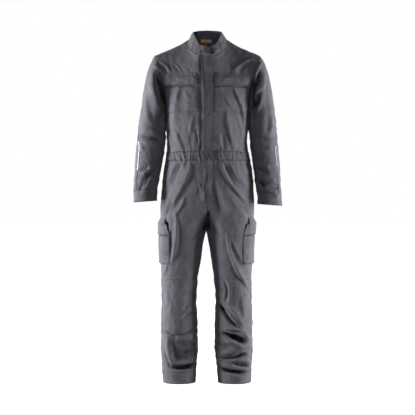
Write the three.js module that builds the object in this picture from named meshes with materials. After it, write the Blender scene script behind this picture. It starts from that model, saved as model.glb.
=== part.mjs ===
// A boiler suit as it hangs on a wearer, with nobody in it. Millimetres, +Z up, -Y is the front.
// The origin is the middle of the neck opening, level with the shoulder seams at the neck.
// Every cloth panel is a wall between two skins. Neighbouring panels share the points of their
// seam and are drawn back from it, and what is sewn onto a panel is made from that panel's points.
import * as THREE from "three";

// Cloth and seams
const WALL = 2;
const PATCH_WALL = 1.6;
const SEAM_GAP = 0.4;
const PATCH_LIFT = 0.7;

// Heights
const ARMPIT_Z = -290;
const WAIST_TOP_Z = -499;
const WAIST_LOW_Z = -536;
const SEAT_Z = -690;
const CROTCH_Z = -845;
const CROTCH_X = -5;
const SLEEVE_TOP_Z = -330;
const CUFF_Z = -662;

// How square the sections are: 2 is an ellipse
const TRUNK_SQUARE = 2.35;
const LIMB_SQUARE = 2.15;

// Trunk sections: side seams on the wearer's right and left, front and back at the middle
const TRUNK = [
  { z: -290, right: -193, left: 188, front: -126, back: 118 },
  { z: -340, right: -187, left: 184, front: -126, back: 110 },
  { z: -400, right: -183, left: 178, front: -122, back: 100 },
  { z: -445, right: -181, left: 176, front: -119, back: 100 },
  { z: -499, right: -181, left: 181, front: -120, back: 105 },
  { z: -536, right: -187, left: 189, front: -122, back: 113 },
  { z: -600, right: -197, left: 200, front: -124, back: 128 },
  { z: -690, right: -204, left: 205, front: -121, back: 139 },
  { z: -760, right: -210, left: 208, front: -113, back: 137 },
  { z: -845, right: -206, left: 203, front: -106, back: 124 },
];

// Leg sections: outer and inner edge of each leg, front and back
const LEGS = [
  { z: -690, rightOut: -204, rightIn: 0, leftIn: 0, leftOut: 205, front: -121, back: 139 },
  { z: -845, rightOut: -206, rightIn: -5, leftIn: -5, leftOut: 203, front: -106, back: 124 },
  { z: -865, rightOut: -206, rightIn: -13, leftIn: 0, leftOut: 199, front: -104, back: 120 },
  { z: -900, rightOut: -207, rightIn: -20, leftIn: 6, leftOut: 196, front: -101, back: 113 },
  { z: -945, rightOut: -206, rightIn: -26, leftIn: 14, leftOut: 195, front: -98, back: 105 },
  { z: -992, rightOut: -206, rightIn: -33, leftIn: 20, leftOut: 198, front: -97, back: 98 },
  { z: -1055, rightOut: -205, rightIn: -44, leftIn: 30, leftOut: 194, front: -96, back: 90 },
  { z: -1135, rightOut: -204, rightIn: -49, leftIn: 36, leftOut: 196, front: -97, back: 82 },
  { z: -1215, rightOut: -206, rightIn: -46, leftIn: 34, leftOut: 199, front: -98, back: 78 },
  { z: -1280, rightOut: -207, rightIn: -44, leftIn: 32, leftOut: 200, front: -97, back: 80 },
  { z: -1350, rightOut: -207, rightIn: -43, leftIn: 32, leftOut: 201, front: -87, back: 86 },
  { z: -1420, rightOut: -205, rightIn: -46, leftIn: 36, leftOut: 199, front: -78, back: 88 },
  { z: -1440, rightOut: -203, rightIn: -48, leftIn: 40, leftOut: 197, front: -76, back: 86 },
  { z: -1455, rightOut: -202, rightIn: -50, leftIn: 43, leftOut: 196, front: -78, back: 84 },
  { z: -1516, rightOut: -197, rightIn: -54, leftIn: 48, leftOut: 193, front: -78, back: 72 },
];

// Sleeve sections: inner and outer edge of each arm, as distances to its side, front and back
const SLEEVES = [
  { z: -330, rightIn: 192, rightOut: 299, leftIn: 190, leftOut: 300, front: -76, back: 82 },
  { z: -400, rightIn: 187, rightOut: 309, leftIn: 184, leftOut: 308, front: -72, back: 74 },
  { z: -433, rightIn: 185, rightOut: 312, leftIn: 188, leftOut: 311, front: -71, back: 69 },
  { z: -470, rightIn: 188, rightOut: 316, leftIn: 191, leftOut: 315, front: -72, back: 63 },
  { z: -540, rightIn: 200, rightOut: 321, leftIn: 201, leftOut: 321, front: -76, back: 50 },
  { z: -610, rightIn: 212, rightOut: 325, leftIn: 210, leftOut: 323, front: -80, back: 34 },
  { z: -676, rightIn: 223, rightOut: 326, leftIn: 220, leftOut: 328, front: -82, back: 18 },
  { z: -722, rightIn: 224, rightOut: 327, leftIn: 221, leftOut: 331, front: -81, back: 9 },
];
const CUFF_SLOPE = -0.07;
const LEFT_SLEEVE_DROP = 15;
const SEAM_TURN = 0.8;

// The neck seam, the collar's top edge and the shoulder seam
const NECK = { half: 88, front: -85, back: 80, sideZ: 3, frontDrop: 81, backRise: 8, drop: 0.75 };
const COLLAR = { half: 64, front: -72, back: 63, middleY: -4, sideZ: 36, frontDrop: 67, backRise: 19 };
const COLLAR_FLAT = 0.4;
const COLLAR_BEND = 1.6;
const SHOULDER = { x: 236, y: 4, z: -69, sag: 9 };

// How the trunk's columns leave the chest row and arrive at the neck and shoulder seams
const YOKE = {
  front: {
    chest: [0, -8, 210],
    armpit: [-60, -250, 0],
    middle: [0, 60, 170],
    neck: [-30, 125, 190],
    tip: [40, 250, 0],
  },
  back: {
    chest: [0, 40, 290],
    armpit: [-30, 320, 0],
    middle: [0, -120, 200],
    neck: [-20, -190, 40],
    tip: [30, -300, 0],
  },
};
const SLEEVE_HEAD = { tip: [0.6, 0, -0.8], armpit: [0.25, 0, -0.97], bulge: 0.8, start: 0.8, end: 0.96 };

// Columns are shares of a quarter of the trunk, counted from the middle of the front or back.
const PLACKET_U = 0.09;
const NECK_U = 0.45;
const POCKET_U = {
  right: { inner: 0.15, outer: 0.88, flapOuter: 0.94 },
  left: { inner: 0.12, outer: 0.88, flapOuter: 0.88 },
};
const FRONT_U = [0, PLACKET_U, 0.12, 0.15, 0.22, 0.295, 0.375, NECK_U, 0.6, 0.75, 0.88, 0.94, 1];
const BACK_U = [0, 0.075, 0.15, 0.225, 0.3, 0.375, NECK_U, 0.6, 0.75, 0.88, 0.94, 1];
const LEG_U = [0, PLACKET_U, 0.15, 0.3, 0.45, 0.56, 0.66, 0.74, 0.85, 1];

// Rows, from the waist up to the armpit, and from there to the level where they start to turn
const FLAP_TOP_Z = -155;
const FLAP_LOW_Z = -209;
const CHEST_POCKET_LOW_Z = -326;
const TRUNK_Z = [WAIST_TOP_Z, -475, -435, -400, -362, CHEST_POCKET_LOW_Z, ARMPIT_Z];
const CHEST_Z = [-262, -235, FLAP_LOW_Z, -182, FLAP_TOP_Z];
const YOKE_ROWS = 4;

// Rows of the legs, the fly end and the pockets
const FLY_LOW_Z = -720;
const CARGO = {
  flapTop: -785, pocketTop: -815, flapLow: -860, low: -992, frontU: 0.66, flapU: 0.74, backU: 0.45, puff: 7,
};
const KNEE = { top: -1055, low: -1295, innerU: 0.15, outerU: 0.85 };
const LEG_Z = [
  WAIST_LOW_Z, -558, -595, -635, -678, FLY_LOW_Z, -752, CARGO.flapTop, CARGO.pocketTop, CROTCH_Z,
  CARGO.flapLow, -900, -945, CARGO.low, -1025, KNEE.top, -1100, -1150, -1200, -1250, KNEE.low, -1330,
  -1370, -1405, -1430, -1442, -1456, -1485, -1516,
];
const SLEEVE_HEAD_ROWS = 5;
const SLEEVE_Z = [-365, -400, -435, -470, -505, -540, -575, -605, -635, CUFF_Z];
const CUFF_ROWS_Z = [CUFF_Z, -690, -716];

// Piping at the elbows, and the label's place on the collar as shares of its height and quarter
const PIPING_SIZE = { high: -450, low: -580, wide: 5, thick: 1.2 };
const LABEL_SIZE = { low: 0.08, high: 0.62, shareU: 0.2, thick: 0.8 };

// The elastic gathers the cloth at the waist, and the gathers die out above and below it.
const GATHERS_PER_QUARTER = 11;
const GATHER_DEPTH = 2.6;
const GATHER_REACH_Z = 45;
const GATHER_ROWS_Z = 30;

// How full the chest pockets are
const CHEST_PUFF = 2.4;

// The largest folds, seen from the front or back: a line from one point to another, how wide the
// fold is to each side of it and how far it stands out (or, below 0, is drawn in).
const FOLDS = [
  { face: -1, x1: -150, z1: -330, x2: -118, z2: -450, wide: 26, out: 7 },
  { face: -1, x1: 108, z1: -215, x2: 152, z2: -395, wide: 24, out: 8 },
  { face: -1, x1: 66, z1: -345, x2: 108, z2: -440, wide: 22, out: 6 },
  { face: -1, x1: -80, z1: -330, x2: -62, z2: -450, wide: 20, out: 5 },
  { face: -1, x1: -70, z1: -548, x2: -165, z2: -720, wide: 28, out: 9 },
  { face: -1, x1: -45, z1: -690, x2: -150, z2: -800, wide: 30, out: -6 },
  { face: -1, x1: 48, z1: -540, x2: 165, z2: -760, wide: 28, out: 9 },
  { face: -1, x1: 30, z1: -640, x2: 78, z2: -800, wide: 22, out: 6 },
  { face: -1, x1: -128, z1: -820, x2: -150, z2: -1000, wide: 26, out: 9 },
  { face: -1, x1: 82, z1: -900, x2: 170, z2: -1090, wide: 26, out: 9 },
  { face: -1, x1: 60, z1: -1150, x2: 130, z2: -1240, wide: 30, out: -9 },
  { face: -1, x1: -180, z1: -1310, x2: -110, z2: -1340, wide: 20, out: -8 },
  { face: -1, x1: 70, z1: -1300, x2: 170, z2: -1345, wide: 24, out: -14 },
  { face: -1, x1: -170, z1: -1350, x2: -140, z2: -1430, wide: 26, out: 10 },
  { face: -1, x1: 120, z1: -1390, x2: 190, z2: -1420, wide: 24, out: 9 },
  { face: 1, x1: -60, z1: -330, x2: -130, z2: -470, wide: 28, out: 7 },
  { face: 1, x1: 50, z1: -310, x2: 120, z2: -470, wide: 28, out: 7 },
  { face: 1, x1: -40, z1: -560, x2: -150, z2: -760, wide: 30, out: 8 },
  { face: 1, x1: 40, z1: -560, x2: 155, z2: -770, wide: 30, out: 8 },
  { face: 1, x1: -55, z1: -870, x2: -95, z2: -930, wide: 24, out: -6 },
  { face: 1, x1: 55, z1: -870, x2: 95, z2: -930, wide: 24, out: -6 },
  { face: 1, x1: -160, z1: -1180, x2: -70, z2: -1200, wide: 26, out: -8 },
  { face: 1, x1: 60, z1: -1190, x2: 160, z2: -1175, wide: 26, out: -8 },
  { face: -1, x1: -300, z1: -400, x2: -205, z2: -425, wide: 24, out: -7 },
  { face: -1, x1: -310, z1: -520, x2: -215, z2: -560, wide: 22, out: -6 },
  { face: -1, x1: 205, z1: -410, x2: 300, z2: -400, wide: 24, out: -7 },
  { face: -1, x1: 220, z1: -545, x2: 315, z2: -600, wide: 22, out: -6 },
];

const CLOTH = new THREE.MeshStandardMaterial({ color: 0x5d5c62, roughness: 0.9, metalness: 0 });
const PIPING = new THREE.MeshStandardMaterial({ color: 0xd9dade, roughness: 0.4, metalness: 0 });
const LABEL = new THREE.MeshStandardMaterial({ color: 0xc9a36a, roughness: 0.8, metalness: 0 });

const mix = (a, b, t) => a + (b - a) * t;
const clamp01 = (t) => Math.min(1, Math.max(0, t));
const smooth = (t) => clamp01(t) ** 2 * (3 - 2 * clamp01(t));
const vec = (a) => new THREE.Vector3(...a);
const power = (value, square) => Math.sign(value) * Math.abs(value) ** (2 / square);

// A column of a table at height z, on a smooth curve through its rows.
function at(table, column, z) {
  let i = 0;
  while (i < table.length - 2 && z < table[i + 1].z) i++;
  const t = clamp01((z - table[i].z) / (table[i + 1].z - table[i].z));
  const slope = (k) => {
    const a = table[Math.max(0, k - 1)];
    const b = table[Math.min(table.length - 1, k + 1)];
    return (b[column] - a[column]) / (b.z - a.z);
  };
  const step = table[i + 1].z - table[i].z;
  return (
    table[i][column] * (1 - t) ** 2 * (1 + 2 * t) +
    table[i + 1][column] * t ** 2 * (3 - 2 * t) +
    step * slope(i) * t * (1 - t) ** 2 -
    step * slope(i + 1) * t ** 2 * (1 - t)
  );
}

// A curve that leaves a along m and reaches b along n.
function bridge(a, m, b, n, t) {
  return new THREE.Vector3()
    .addScaledVector(a, (1 - t) ** 2 * (1 + 2 * t))
    .addScaledVector(m, t * (1 - t) ** 2)
    .addScaledVector(b, t ** 2 * (3 - 2 * t))
    .addScaledVector(n, -(t ** 2) * (1 - t));
}

// Points of a curve at the given shares of its length.
function alongCurve(curve, shares) {
  const dense = Array.from({ length: 65 }, (_, i) => curve(i / 64));
  const length = [0];
  for (let i = 1; i < dense.length; i++) length.push(length[i - 1] + dense[i].distanceTo(dense[i - 1]));
  return shares.map((share) => {
    const goal = share * length.at(-1);
    const i = Math.min(63, Math.max(0, length.findIndex((l) => l >= goal - 1e-9) - 1));
    return dense[i].clone().lerp(dense[i + 1], clamp01((goal - length[i]) / (length[i + 1] - length[i])));
  });
}

// Points of the skin are shared by the panels that meet there. A point is a Vector3 with a normal.
const skinPoints = new Map();
function skin(v) {
  const key = [v.x, v.y, v.z].map((c) => Math.round(c * 50)).join();
  if (!skinPoints.has(key)) skinPoints.set(key, Object.assign(v.clone(), { normal: new THREE.Vector3() }));
  return skinPoints.get(key);
}

// A quarter of the trunk's section, from the middle of a face to the side seam.
function trunkQuarter(side, face, z) {
  const half = at(TRUNK, side < 0 ? "right" : "left", z);
  const deep = at(TRUNK, face < 0 ? "front" : "back", z);
  return (t) => {
    const angle = (t * Math.PI) / 2;
    return new THREE.Vector3(
      half * power(Math.sin(angle), TRUNK_SQUARE),
      deep * power(Math.cos(angle), TRUNK_SQUARE),
      z,
    );
  };
}

// The neck seam on one side and face, from the middle of the face to the shoulder.
function neckSeam(side, face) {
  return (t) => {
    const angle = (t * Math.PI) / 2;
    const middle = Math.cos(angle);
    return new THREE.Vector3(
      side * NECK.half * Math.sin(angle),
      (face < 0 ? NECK.front : NECK.back) * middle,
      NECK.sideZ + (face < 0 ? -NECK.frontDrop * middle ** NECK.drop : NECK.backRise * middle),
    );
  };
}

function collarEdge(side, face) {
  return (t) => {
    const angle = (t * Math.PI) / 2;
    const middle = Math.cos(angle);
    const out = Math.max(0, (Math.sin(angle) - COLLAR_FLAT) / (1 - COLLAR_FLAT)) ** COLLAR_BEND;
    const deep = face < 0 ? COLLAR.front : COLLAR.back;
    return new THREE.Vector3(
      side * COLLAR.half * Math.sin(angle),
      COLLAR.middleY + (deep - COLLAR.middleY) * middle,
      COLLAR.sideZ + (face < 0 ? -COLLAR.frontDrop * (1 - out) : COLLAR.backRise * middle),
    );
  };
}

function shoulderSeam(side, t) {
  return new THREE.Vector3(
    side * mix(NECK.half, SHOULDER.x, t),
    mix(0, SHOULDER.y, t),
    mix(NECK.sideZ, SHOULDER.z, t) - SHOULDER.sag * (1 - t) * Math.sin(Math.PI * t),
  );
}

// One column of the trunk above the armpit, from the chest row (v = 0) to the seam (v = 1).
function yokeColumn(side, face, u) {
  const ways = YOKE[face < 0 ? "front" : "back"];
  const [start] = alongCurve(trunkQuarter(side, face, ARMPIT_Z), [u]);
  const onShoulder = (u - NECK_U) / (1 - NECK_U);
  const end = u < NECK_U ? alongCurve(neckSeam(side, face), [u / NECK_U])[0] : shoulderSeam(side, onShoulder);
  const leave = vec(ways.chest).lerp(vec(ways.armpit), u ** 3);
  const arrive = u < NECK_U
    ? vec(ways.middle).lerp(vec(ways.neck), u / NECK_U)
    : vec(ways.neck).lerp(vec(ways.tip), onShoulder);
  leave.x *= side;
  arrive.x *= side;
  return (v) => bridge(start, leave, end, arrive, v);
}

// How far up a column reaches height z.
function shareAtHeight(column, z) {
  let low = 0;
  let high = 1;
  for (let i = 0; i < 40; i++) {
    const middle = (low + high) / 2;
    if (column(middle).z < z) low = middle;
    else high = middle;
  }
  return (low + high) / 2;
}

// The shares of a column where its rows cross it.
function yokeShares(column) {
  const level = CHEST_Z.map((z) => shareAtHeight(column, z));
  const last = level.at(-1);
  const turned = Array.from({ length: YOKE_ROWS }, (_, i) => mix(last, 1, (i + 1) / YOKE_ROWS));
  return [...level, ...turned];
}

// Columns near the waist: the panel's own as far as the placket, then two to each gather.
const gatherU = [0, PLACKET_U];
for (let i = 1; i <= GATHERS_PER_QUARTER * 2; i++) {
  gatherU.push(mix(PLACKET_U, 1, i / (GATHERS_PER_QUARTER * 2)));
}
const nearWaist = (z) => z <= WAIST_TOP_Z + GATHER_ROWS_Z && z >= WAIST_LOW_Z - GATHER_ROWS_Z;

// Rows are lists of { u, point }.
const row = (curve, shares) => alongCurve(curve, shares).map((v, i) => ({ u: shares[i], point: skin(v) }));

function upperRows(side, face) {
  const shares = face < 0 ? FRONT_U : BACK_U;
  const rows = TRUNK_Z.map((z) => row(trunkQuarter(side, face, z), nearWaist(z) ? gatherU : shares));
  const columns = shares.map((u) => yokeColumn(side, face, u));
  const crossings = columns.map(yokeShares);
  for (let i = 0; i < crossings[0].length; i++) {
    rows.push(shares.map((u, k) => ({ u, point: skin(columns[k](crossings[k][i])) })));
  }
  return rows;
}

// A row of a trouser leg, from the middle seam or inseam to the side seam.
function legRow(side, face, z) {
  const name = side < 0 ? "right" : "left";
  const hip = trunkQuarter(side, face, Math.max(z, CROTCH_Z));
  const outer = at(LEGS, name + "Out", z);
  const down = clamp01((SEAT_Z - z) / (SEAT_Z - CROTCH_Z));
  const inner = z > CROTCH_Z ? CROTCH_X * down : at(LEGS, name + "In", z);
  const deep = at(LEGS, face < 0 ? "front" : "back", z);
  const share = down ** 3;
  return (t) => {
    const angle = t * Math.PI;
    const leg = new THREE.Vector3(
      (inner + outer) / 2 - ((outer - inner) / 2) * power(Math.cos(angle), LIMB_SQUARE),
      deep * power(Math.sin(angle), LIMB_SQUARE),
      z,
    );
    return z > SEAT_Z ? hip(t) : hip(t).lerp(leg, share).setZ(z);
  };
}

const legRows = (side, face) =>
  LEG_Z.map((z) => row(legRow(side, face, z), nearWaist(z) ? gatherU : LEG_U));

const waistRows = (side, face) =>
  [WAIST_TOP_Z, (WAIST_TOP_Z + WAIST_LOW_Z) / 2, WAIST_LOW_Z].map((z) =>
    row(trunkQuarter(side, face, z), gatherU),
  );

// A section of a sleeve. Its seams turn towards the front of the outer side further down.
function sleeveSection(side, face, z) {
  const name = side < 0 ? "right" : "left";
  const inner = at(SLEEVES, name + "In", z);
  const outer = at(SLEEVES, name + "Out", z);
  const front = at(SLEEVES, "front", z);
  const back = at(SLEEVES, "back", z);
  const down = (SLEEVE_TOP_Z - z) / (SLEEVE_TOP_Z - CUFF_Z);
  const turn = SEAM_TURN * smooth(down * 2);
  const drop = side > 0 ? LEFT_SLEEVE_DROP * clamp01(down) : 0;
  return (t) => {
    const angle = -turn - face * t * Math.PI;
    const out = -power(Math.cos(angle), LIMB_SQUARE);
    const forward = power(Math.sin(angle), LIMB_SQUARE);
    const x = (inner + outer) / 2 + ((outer - inner) / 2) * out;
    return new THREE.Vector3(
      side * x,
      (front + back) / 2 - ((back - front) / 2) * forward,
      z - drop + CUFF_SLOPE * (x - (inner + outer) / 2) * clamp01(down),
    );
  };
}

// Half a sleeve. Its first row is the trunk's armhole, and its columns go on from the trunk's rows.
function sleeveRows(side, face) {
  const edge = yokeColumn(side, face, 1);
  const crossings = [0, ...yokeShares(edge)];
  const armhole = crossings.map(edge);
  const run = [0];
  for (let i = 1; i < armhole.length; i++) run.push(run[i - 1] + armhole[i].distanceTo(armhole[i - 1]));
  const shares = run.map((length) => length / run.at(-1));
  const top = alongCurve(sleeveSection(side, face, SLEEVE_TOP_Z), shares);
  const below = alongCurve(sleeveSection(side, face, SLEEVE_TOP_Z - 10), shares);
  const rows = [];
  for (let r = 0; r <= SLEEVE_HEAD_ROWS; r++) {
    rows.push(
      shares.map((u, i) => {
        const reach = armhole[i].distanceTo(top[i]);
        const leave = vec(SLEEVE_HEAD.armpit).lerp(vec(SLEEVE_HEAD.tip), u);
        leave.y += face * SLEEVE_HEAD.bulge * Math.sin(Math.PI * u);
        leave.x *= side;
        leave.normalize().multiplyScalar(reach * SLEEVE_HEAD.start);
        const arrive = below[i].clone().sub(top[i]).normalize().multiplyScalar(reach * SLEEVE_HEAD.end);
        return { u, point: skin(bridge(armhole[i], leave, top[i], arrive, r / SLEEVE_HEAD_ROWS)) };
      }),
    );
  }
  for (const z of SLEEVE_Z) rows.push(row(sleeveSection(side, face, z), shares));
  const cuff = CUFF_ROWS_Z.map((z) => row(sleeveSection(side, face, z), shares));
  return { sleeve: rows, cuff };
}

// Two halves that meet at u = 0 (or at u = 1) as one set of rows.
function joined(first, second, meetAt) {
  const low = meetAt === 0 ? first : second;
  return first.map((_, i) => {
    const turned = [...low[i]].reverse();
    const rest = (meetAt === 0 ? second : first)[i];
    const head = meetAt === 0 ? turned.map((e) => ({ ...e, u: -e.u })) : rest;
    const tail = meetAt === 0 ? rest.slice(1) : turned.slice(1).map((e) => ({ ...e, u: 2 - e.u }));
    return [...head, ...tail];
  });
}

// Triangles between neighbouring rows, which may have different columns. Where four points make a
// square, it is cut along its shorter diagonal, so a patch and the panel under it are cut alike.
function stitched(rows) {
  const triangles = [];
  for (let r = 0; r + 1 < rows.length; r++) {
    const [a, b] = [rows[r], rows[r + 1]];
    let i = 0;
    let j = 0;
    while (i < a.length - 1 || j < b.length - 1) {
      const endA = i === a.length - 1;
      const endB = j === b.length - 1;
      const square = !endA && !endB && Math.abs(a[i + 1].u - b[j + 1].u) < 1e-6;
      const shorter =
        square && a[i + 1].point.distanceTo(b[j].point) <= a[i].point.distanceTo(b[j + 1].point);
      const stepA = square ? shorter : endB || (!endA && a[i + 1].u < b[j + 1].u);
      if (stepA) triangles.push([[r, i], [r, i + 1], [r + 1, j]]);
      else triangles.push([[r, i], [r + 1, j + 1], [r + 1, j]]);
      if (square && stepA) triangles.push([[r, i + 1], [r + 1, j + 1], [r + 1, j]]);
      if (square && !stepA) triangles.push([[r, i], [r, i + 1], [r + 1, j + 1]]);
      if (stepA || square) i++;
      if (!stepA || square) j++;
    }
  }
  return triangles;
}

// The panels of the skin: rows, and whether the first triangle order faces outwards.
const panels = new Map();
function panel(name, rows, outwards, ring = false) {
  panels.set(name, { name, rows, outwards, ring, triangles: stitched(rows) });
}

// Adds each panel's faces to the normals of its points.
function findNormals() {
  for (const p of skinPoints.values()) p.normal.set(0, 0, 0);
  for (const { rows, triangles, outwards } of panels.values()) {
    for (const corners of triangles) {
      const [a, b, c] = corners.map(([r, i]) => rows[r][i].point);
      const face = b.clone().sub(a).cross(c.clone().sub(a));
      if (!outwards) face.negate();
      for (const p of [a, b, c]) p.normal.add(face);
    }
  }
  for (const p of skinPoints.values()) p.normal.normalize();
}

// How far a fold moves a point along its normal.
function foldAt(p, fold) {
  const facing = clamp01(fold.face * p.normal.y * 1.6);
  const along = new THREE.Vector2(fold.x2 - fold.x1, fold.z2 - fold.z1);
  const from = new THREE.Vector2(p.x - fold.x1, p.z - fold.z1);
  const t = from.dot(along) / along.lengthSq();
  const aside = Math.abs(from.cross(along)) / along.length();
  const ends = smooth((t + 0.15) / 0.4) * smooth((1.15 - t) / 0.4);
  return fold.out * facing * ends * Math.exp(-((aside / fold.wide) ** 2));
}

function foldSkin() {
  const moves = [...skinPoints.values()].map((p) => {
    const held = smooth((Math.abs(p.z - mix(WAIST_TOP_Z, WAIST_LOW_Z, 0.5)) - 20) / 30);
    return FOLDS.reduce((sum, fold) => sum + foldAt(p, fold), 0) * held;
  });
  [...skinPoints.values()].forEach((p, i) => p.addScaledVector(p.normal, moves[i]));
}

// Draws every second column near the waist in, by uneven amounts.
function gatherWaist() {
  const done = new Set();
  for (const { rows } of panels.values()) {
    for (const line of rows) {
      for (const { u, point } of line) {
        const count = (Math.abs(u) - PLACKET_U) / (1 - PLACKET_U) * GATHERS_PER_QUARTER * 2;
        const odd = Math.round(count) % 2 === 1 && Math.abs(count - Math.round(count)) < 1e-6;
        if (!odd || !nearWaist(point.z) || done.has(point)) continue;
        const away = Math.max(0, point.z - WAIST_TOP_Z, WAIST_LOW_Z - point.z);
        const uneven = 0.7 + 0.3 * Math.sin(count * 2.3 + Math.sign(point.x));
        const depth = GATHER_DEPTH * uneven * (1 - away / GATHER_REACH_Z);
        point.addScaledVector(point.normal.clone().setZ(0).normalize(), -depth);
        done.add(point);
      }
    }
  }
}

// The rims of a set of rows, as places in them, in the order that its triangles run round it.
function rimsOf(rows, ring) {
  const last = rows.length - 1;
  if (ring) {
    const around = (r) => rows[r].slice(0, -1).map((_, i) => [r, i]);
    return [around(0), around(last).reverse()];
  }
  const rim = rows[0].map((_, i) => [0, i]);
  for (let r = 1; r <= last; r++) rim.push([r, rows[r].length - 1]);
  for (let i = rows[last].length - 2; i >= 0; i--) rim.push([last, i]);
  for (let r = last - 1; r > 0; r--) rim.push([r, 0]);
  return [rim];
}

// Both panels at a seam cut the squares of their rims the same way.
const comesFirst = (p, q) => (p.z !== q.z ? p.z < q.z : p.x !== q.x ? p.x < q.x : p.y < q.y);

// A closed wall between two skins over the same rows.
function wall(rows, triangles, outwards, ring, outer, inner) {
  const index = new Map();
  const positions = [];
  const corner = (layer, r, i) => {
    const wrapped = ring && i === rows[r].length - 1 ? 0 : i;
    const key = layer + ":" + r + ":" + wrapped;
    if (!index.has(key)) {
      index.set(key, positions.length / 3);
      positions.push(...(layer === "outer" ? outer : inner)[r][wrapped].toArray());
    }
    return index.get(key);
  };
  const faces = [];
  const add = (a, b, c) => faces.push(...(outwards ? [a, b, c] : [a, c, b]));
  for (const [a, b, c] of triangles) {
    add(corner("outer", ...a), corner("outer", ...b), corner("outer", ...c));
    add(corner("inner", ...a), corner("inner", ...c), corner("inner", ...b));
  }
  for (const rim of rimsOf(rows, ring)) {
    for (let k = 0; k < rim.length; k++) {
      const [a, b] = [rim[k], rim[(k + 1) % rim.length]];
      const [outerA, outerB] = [corner("outer", ...a), corner("outer", ...b)];
      const [innerA, innerB] = [corner("inner", ...a), corner("inner", ...b)];
      if (comesFirst(rows[a[0]][a[1]].point, rows[b[0]][b[1]].point)) {
        add(outerB, outerA, innerA);
        add(outerB, innerA, innerB);
      } else {
        add(outerB, outerA, innerB);
        add(outerA, innerA, innerB);
      }
    }
  }
  return new THREE.BufferGeometry()
    .setAttribute("position", new THREE.Float32BufferAttribute(positions, 3))
    .setIndex(faces);
}

// A panel's points, drawn back from its seams by half the gap, square to the seam.
function drawnBack({ rows, triangles, ring }) {
  const moved = rows.map((line) => line.map(({ point }) => point.clone()));
  const facing = rows.map((line) => line.map(() => new THREE.Vector3()));
  const place = ([r, i]) => [r, ring && i === rows[r].length - 1 ? 0 : i];
  for (const corners of triangles) {
    const [a, b, c] = corners.map(([r, i]) => rows[r][i].point);
    const face = b.clone().sub(a).cross(c.clone().sub(a));
    for (const corner of corners) {
      const [r, i] = place(corner);
      facing[r][i].add(face);
    }
  }
  const at = ([r, i]) => rows[r][i].point;
  for (const rim of rimsOf(rows, ring)) {
    rim.forEach((spot, k) => {
      const [before, after] = [rim.at(k - 1), rim[(k + 1) % rim.length]];
      const normal = facing[spot[0]][spot[1]].clone().normalize();
      const inwards = [at(spot).clone().sub(at(before)), at(after).clone().sub(at(spot))].map((way) =>
        normal.clone().cross(way).normalize(),
      );
      const mitre = Math.max(0.5, 1 + inwards[0].dot(inwards[1]));
      moved[spot[0]][spot[1]].addScaledVector(inwards[0].add(inwards[1]), SEAM_GAP / 2 / mitre);
    });
  }
  return moved;
}

function panelGeometry(made) {
  const outer = drawnBack(made);
  const inner = outer.map((line, r) =>
    line.map((p, i) => {
      const { point } = made.rows[r][i];
      const normal = point.normal.clone();
      const atWaist = r === 0 || r === made.rows.length - 1;
      if (atWaist && nearWaist(point.z)) normal.setZ(0).normalize();
      return p.clone().addScaledVector(normal, -WALL);
    }),
  );
  return wall(made.rows, made.triangles, made.outwards, made.ring, outer, inner);
}

// Something sewn on: part of the skin's rows, lifted off it. The lift may differ from point to point.
function patchGeometry(rows, outwards, lift, thick = PATCH_WALL) {
  const raised = (extra) =>
    rows.map((line, r) =>
      line.map(({ point }, i) => point.clone().addScaledVector(point.normal, lift(r, i, line) + extra)),
    );
  return wall(rows, stitched(rows), outwards, false, raised(thick), raised(0));
}

// The part of some rows between two shares and two heights.
function part(rows, lowU, highU, highZ, lowZ) {
  const near = 1e-6;
  return rows
    .filter((line) => line[0].point.z <= highZ + 1 && line[0].point.z >= lowZ - 1)
    .map((line) => line.filter(({ u }) => u >= lowU - near && u <= highU + near));
}

const group = new THREE.Group();
function addMesh(name, geometry, material) {
  const mesh = new THREE.Mesh(geometry, material);
  mesh.name = name;
  group.add(mesh);
}

// The skin
const SIDES = { right: -1, left: 1 };
const FACES = { front: -1, back: 1 };
const upper = {};
const legs = {};
const waist = {};
const sleeves = {};
for (const [sideName, side] of Object.entries(SIDES)) {
  for (const [faceName, face] of Object.entries(FACES)) {
    const key = faceName + "_" + sideName;
    upper[key] = upperRows(side, face);
    waist[key] = waistRows(side, face);
    legs[key] = legRows(side, face);
    sleeves[key] = sleeveRows(side, face);
    const outwards = side * face < 0;
    if (face < 0) panel("front_" + sideName, upper[key], outwards);
    panel("leg_" + key, legs[key], !outwards);
    panel("sleeve_" + key, sleeves[key].sleeve, !outwards);
  }
  const band = joined(waist["front_" + sideName], waist["back_" + sideName], 1);
  panel("waistband_" + sideName, band, side < 0);
  const cuff = joined(sleeves["front_" + sideName].cuff, sleeves["back_" + sideName].cuff, 1);
  panel("cuff_" + sideName, cuff, side < 0, true);
}
panel("back", joined(upper.back_right, upper.back_left, 0), false);

// The collar stands on the neck seam, open at the middle of the front.
function collarRows() {
  const quarters = [[-1, -1], [-1, 1], [1, 1], [1, -1]];
  return [0, 0.5, 1].map((rise) => {
    const line = [];
    quarters.forEach(([side, face], q) => {
      const shares = (face < 0 ? FRONT_U : BACK_U).filter((u) => u <= NECK_U).map((u) => u / NECK_U);
      const low = alongCurve(neckSeam(side, face), shares);
      const high = alongCurve(collarEdge(side, face), shares);
      const quarter = low.map((v, i) => {
        const bowed = v.clone().lerp(high[i], rise);
        const share = face < 0 ? shares[i] : 2 - shares[i];
        return { u: side < 0 ? share : 4 - share, point: skin(bowed) };
      });
      if ((q === 1) || (q === 3)) quarter.reverse();
      line.push(...(q ? quarter.slice(1) : quarter));
    });
    return line;
  });
}
const collar = collarRows();
panel("collar", collar, false);

findNormals();
foldSkin();
findNormals();
gatherWaist();
for (const made of panels.values()) made.triangles = stitched(made.rows);
findNormals();

for (const made of panels.values()) addMesh(made.name, panelGeometry(made), CLOTH);

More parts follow.
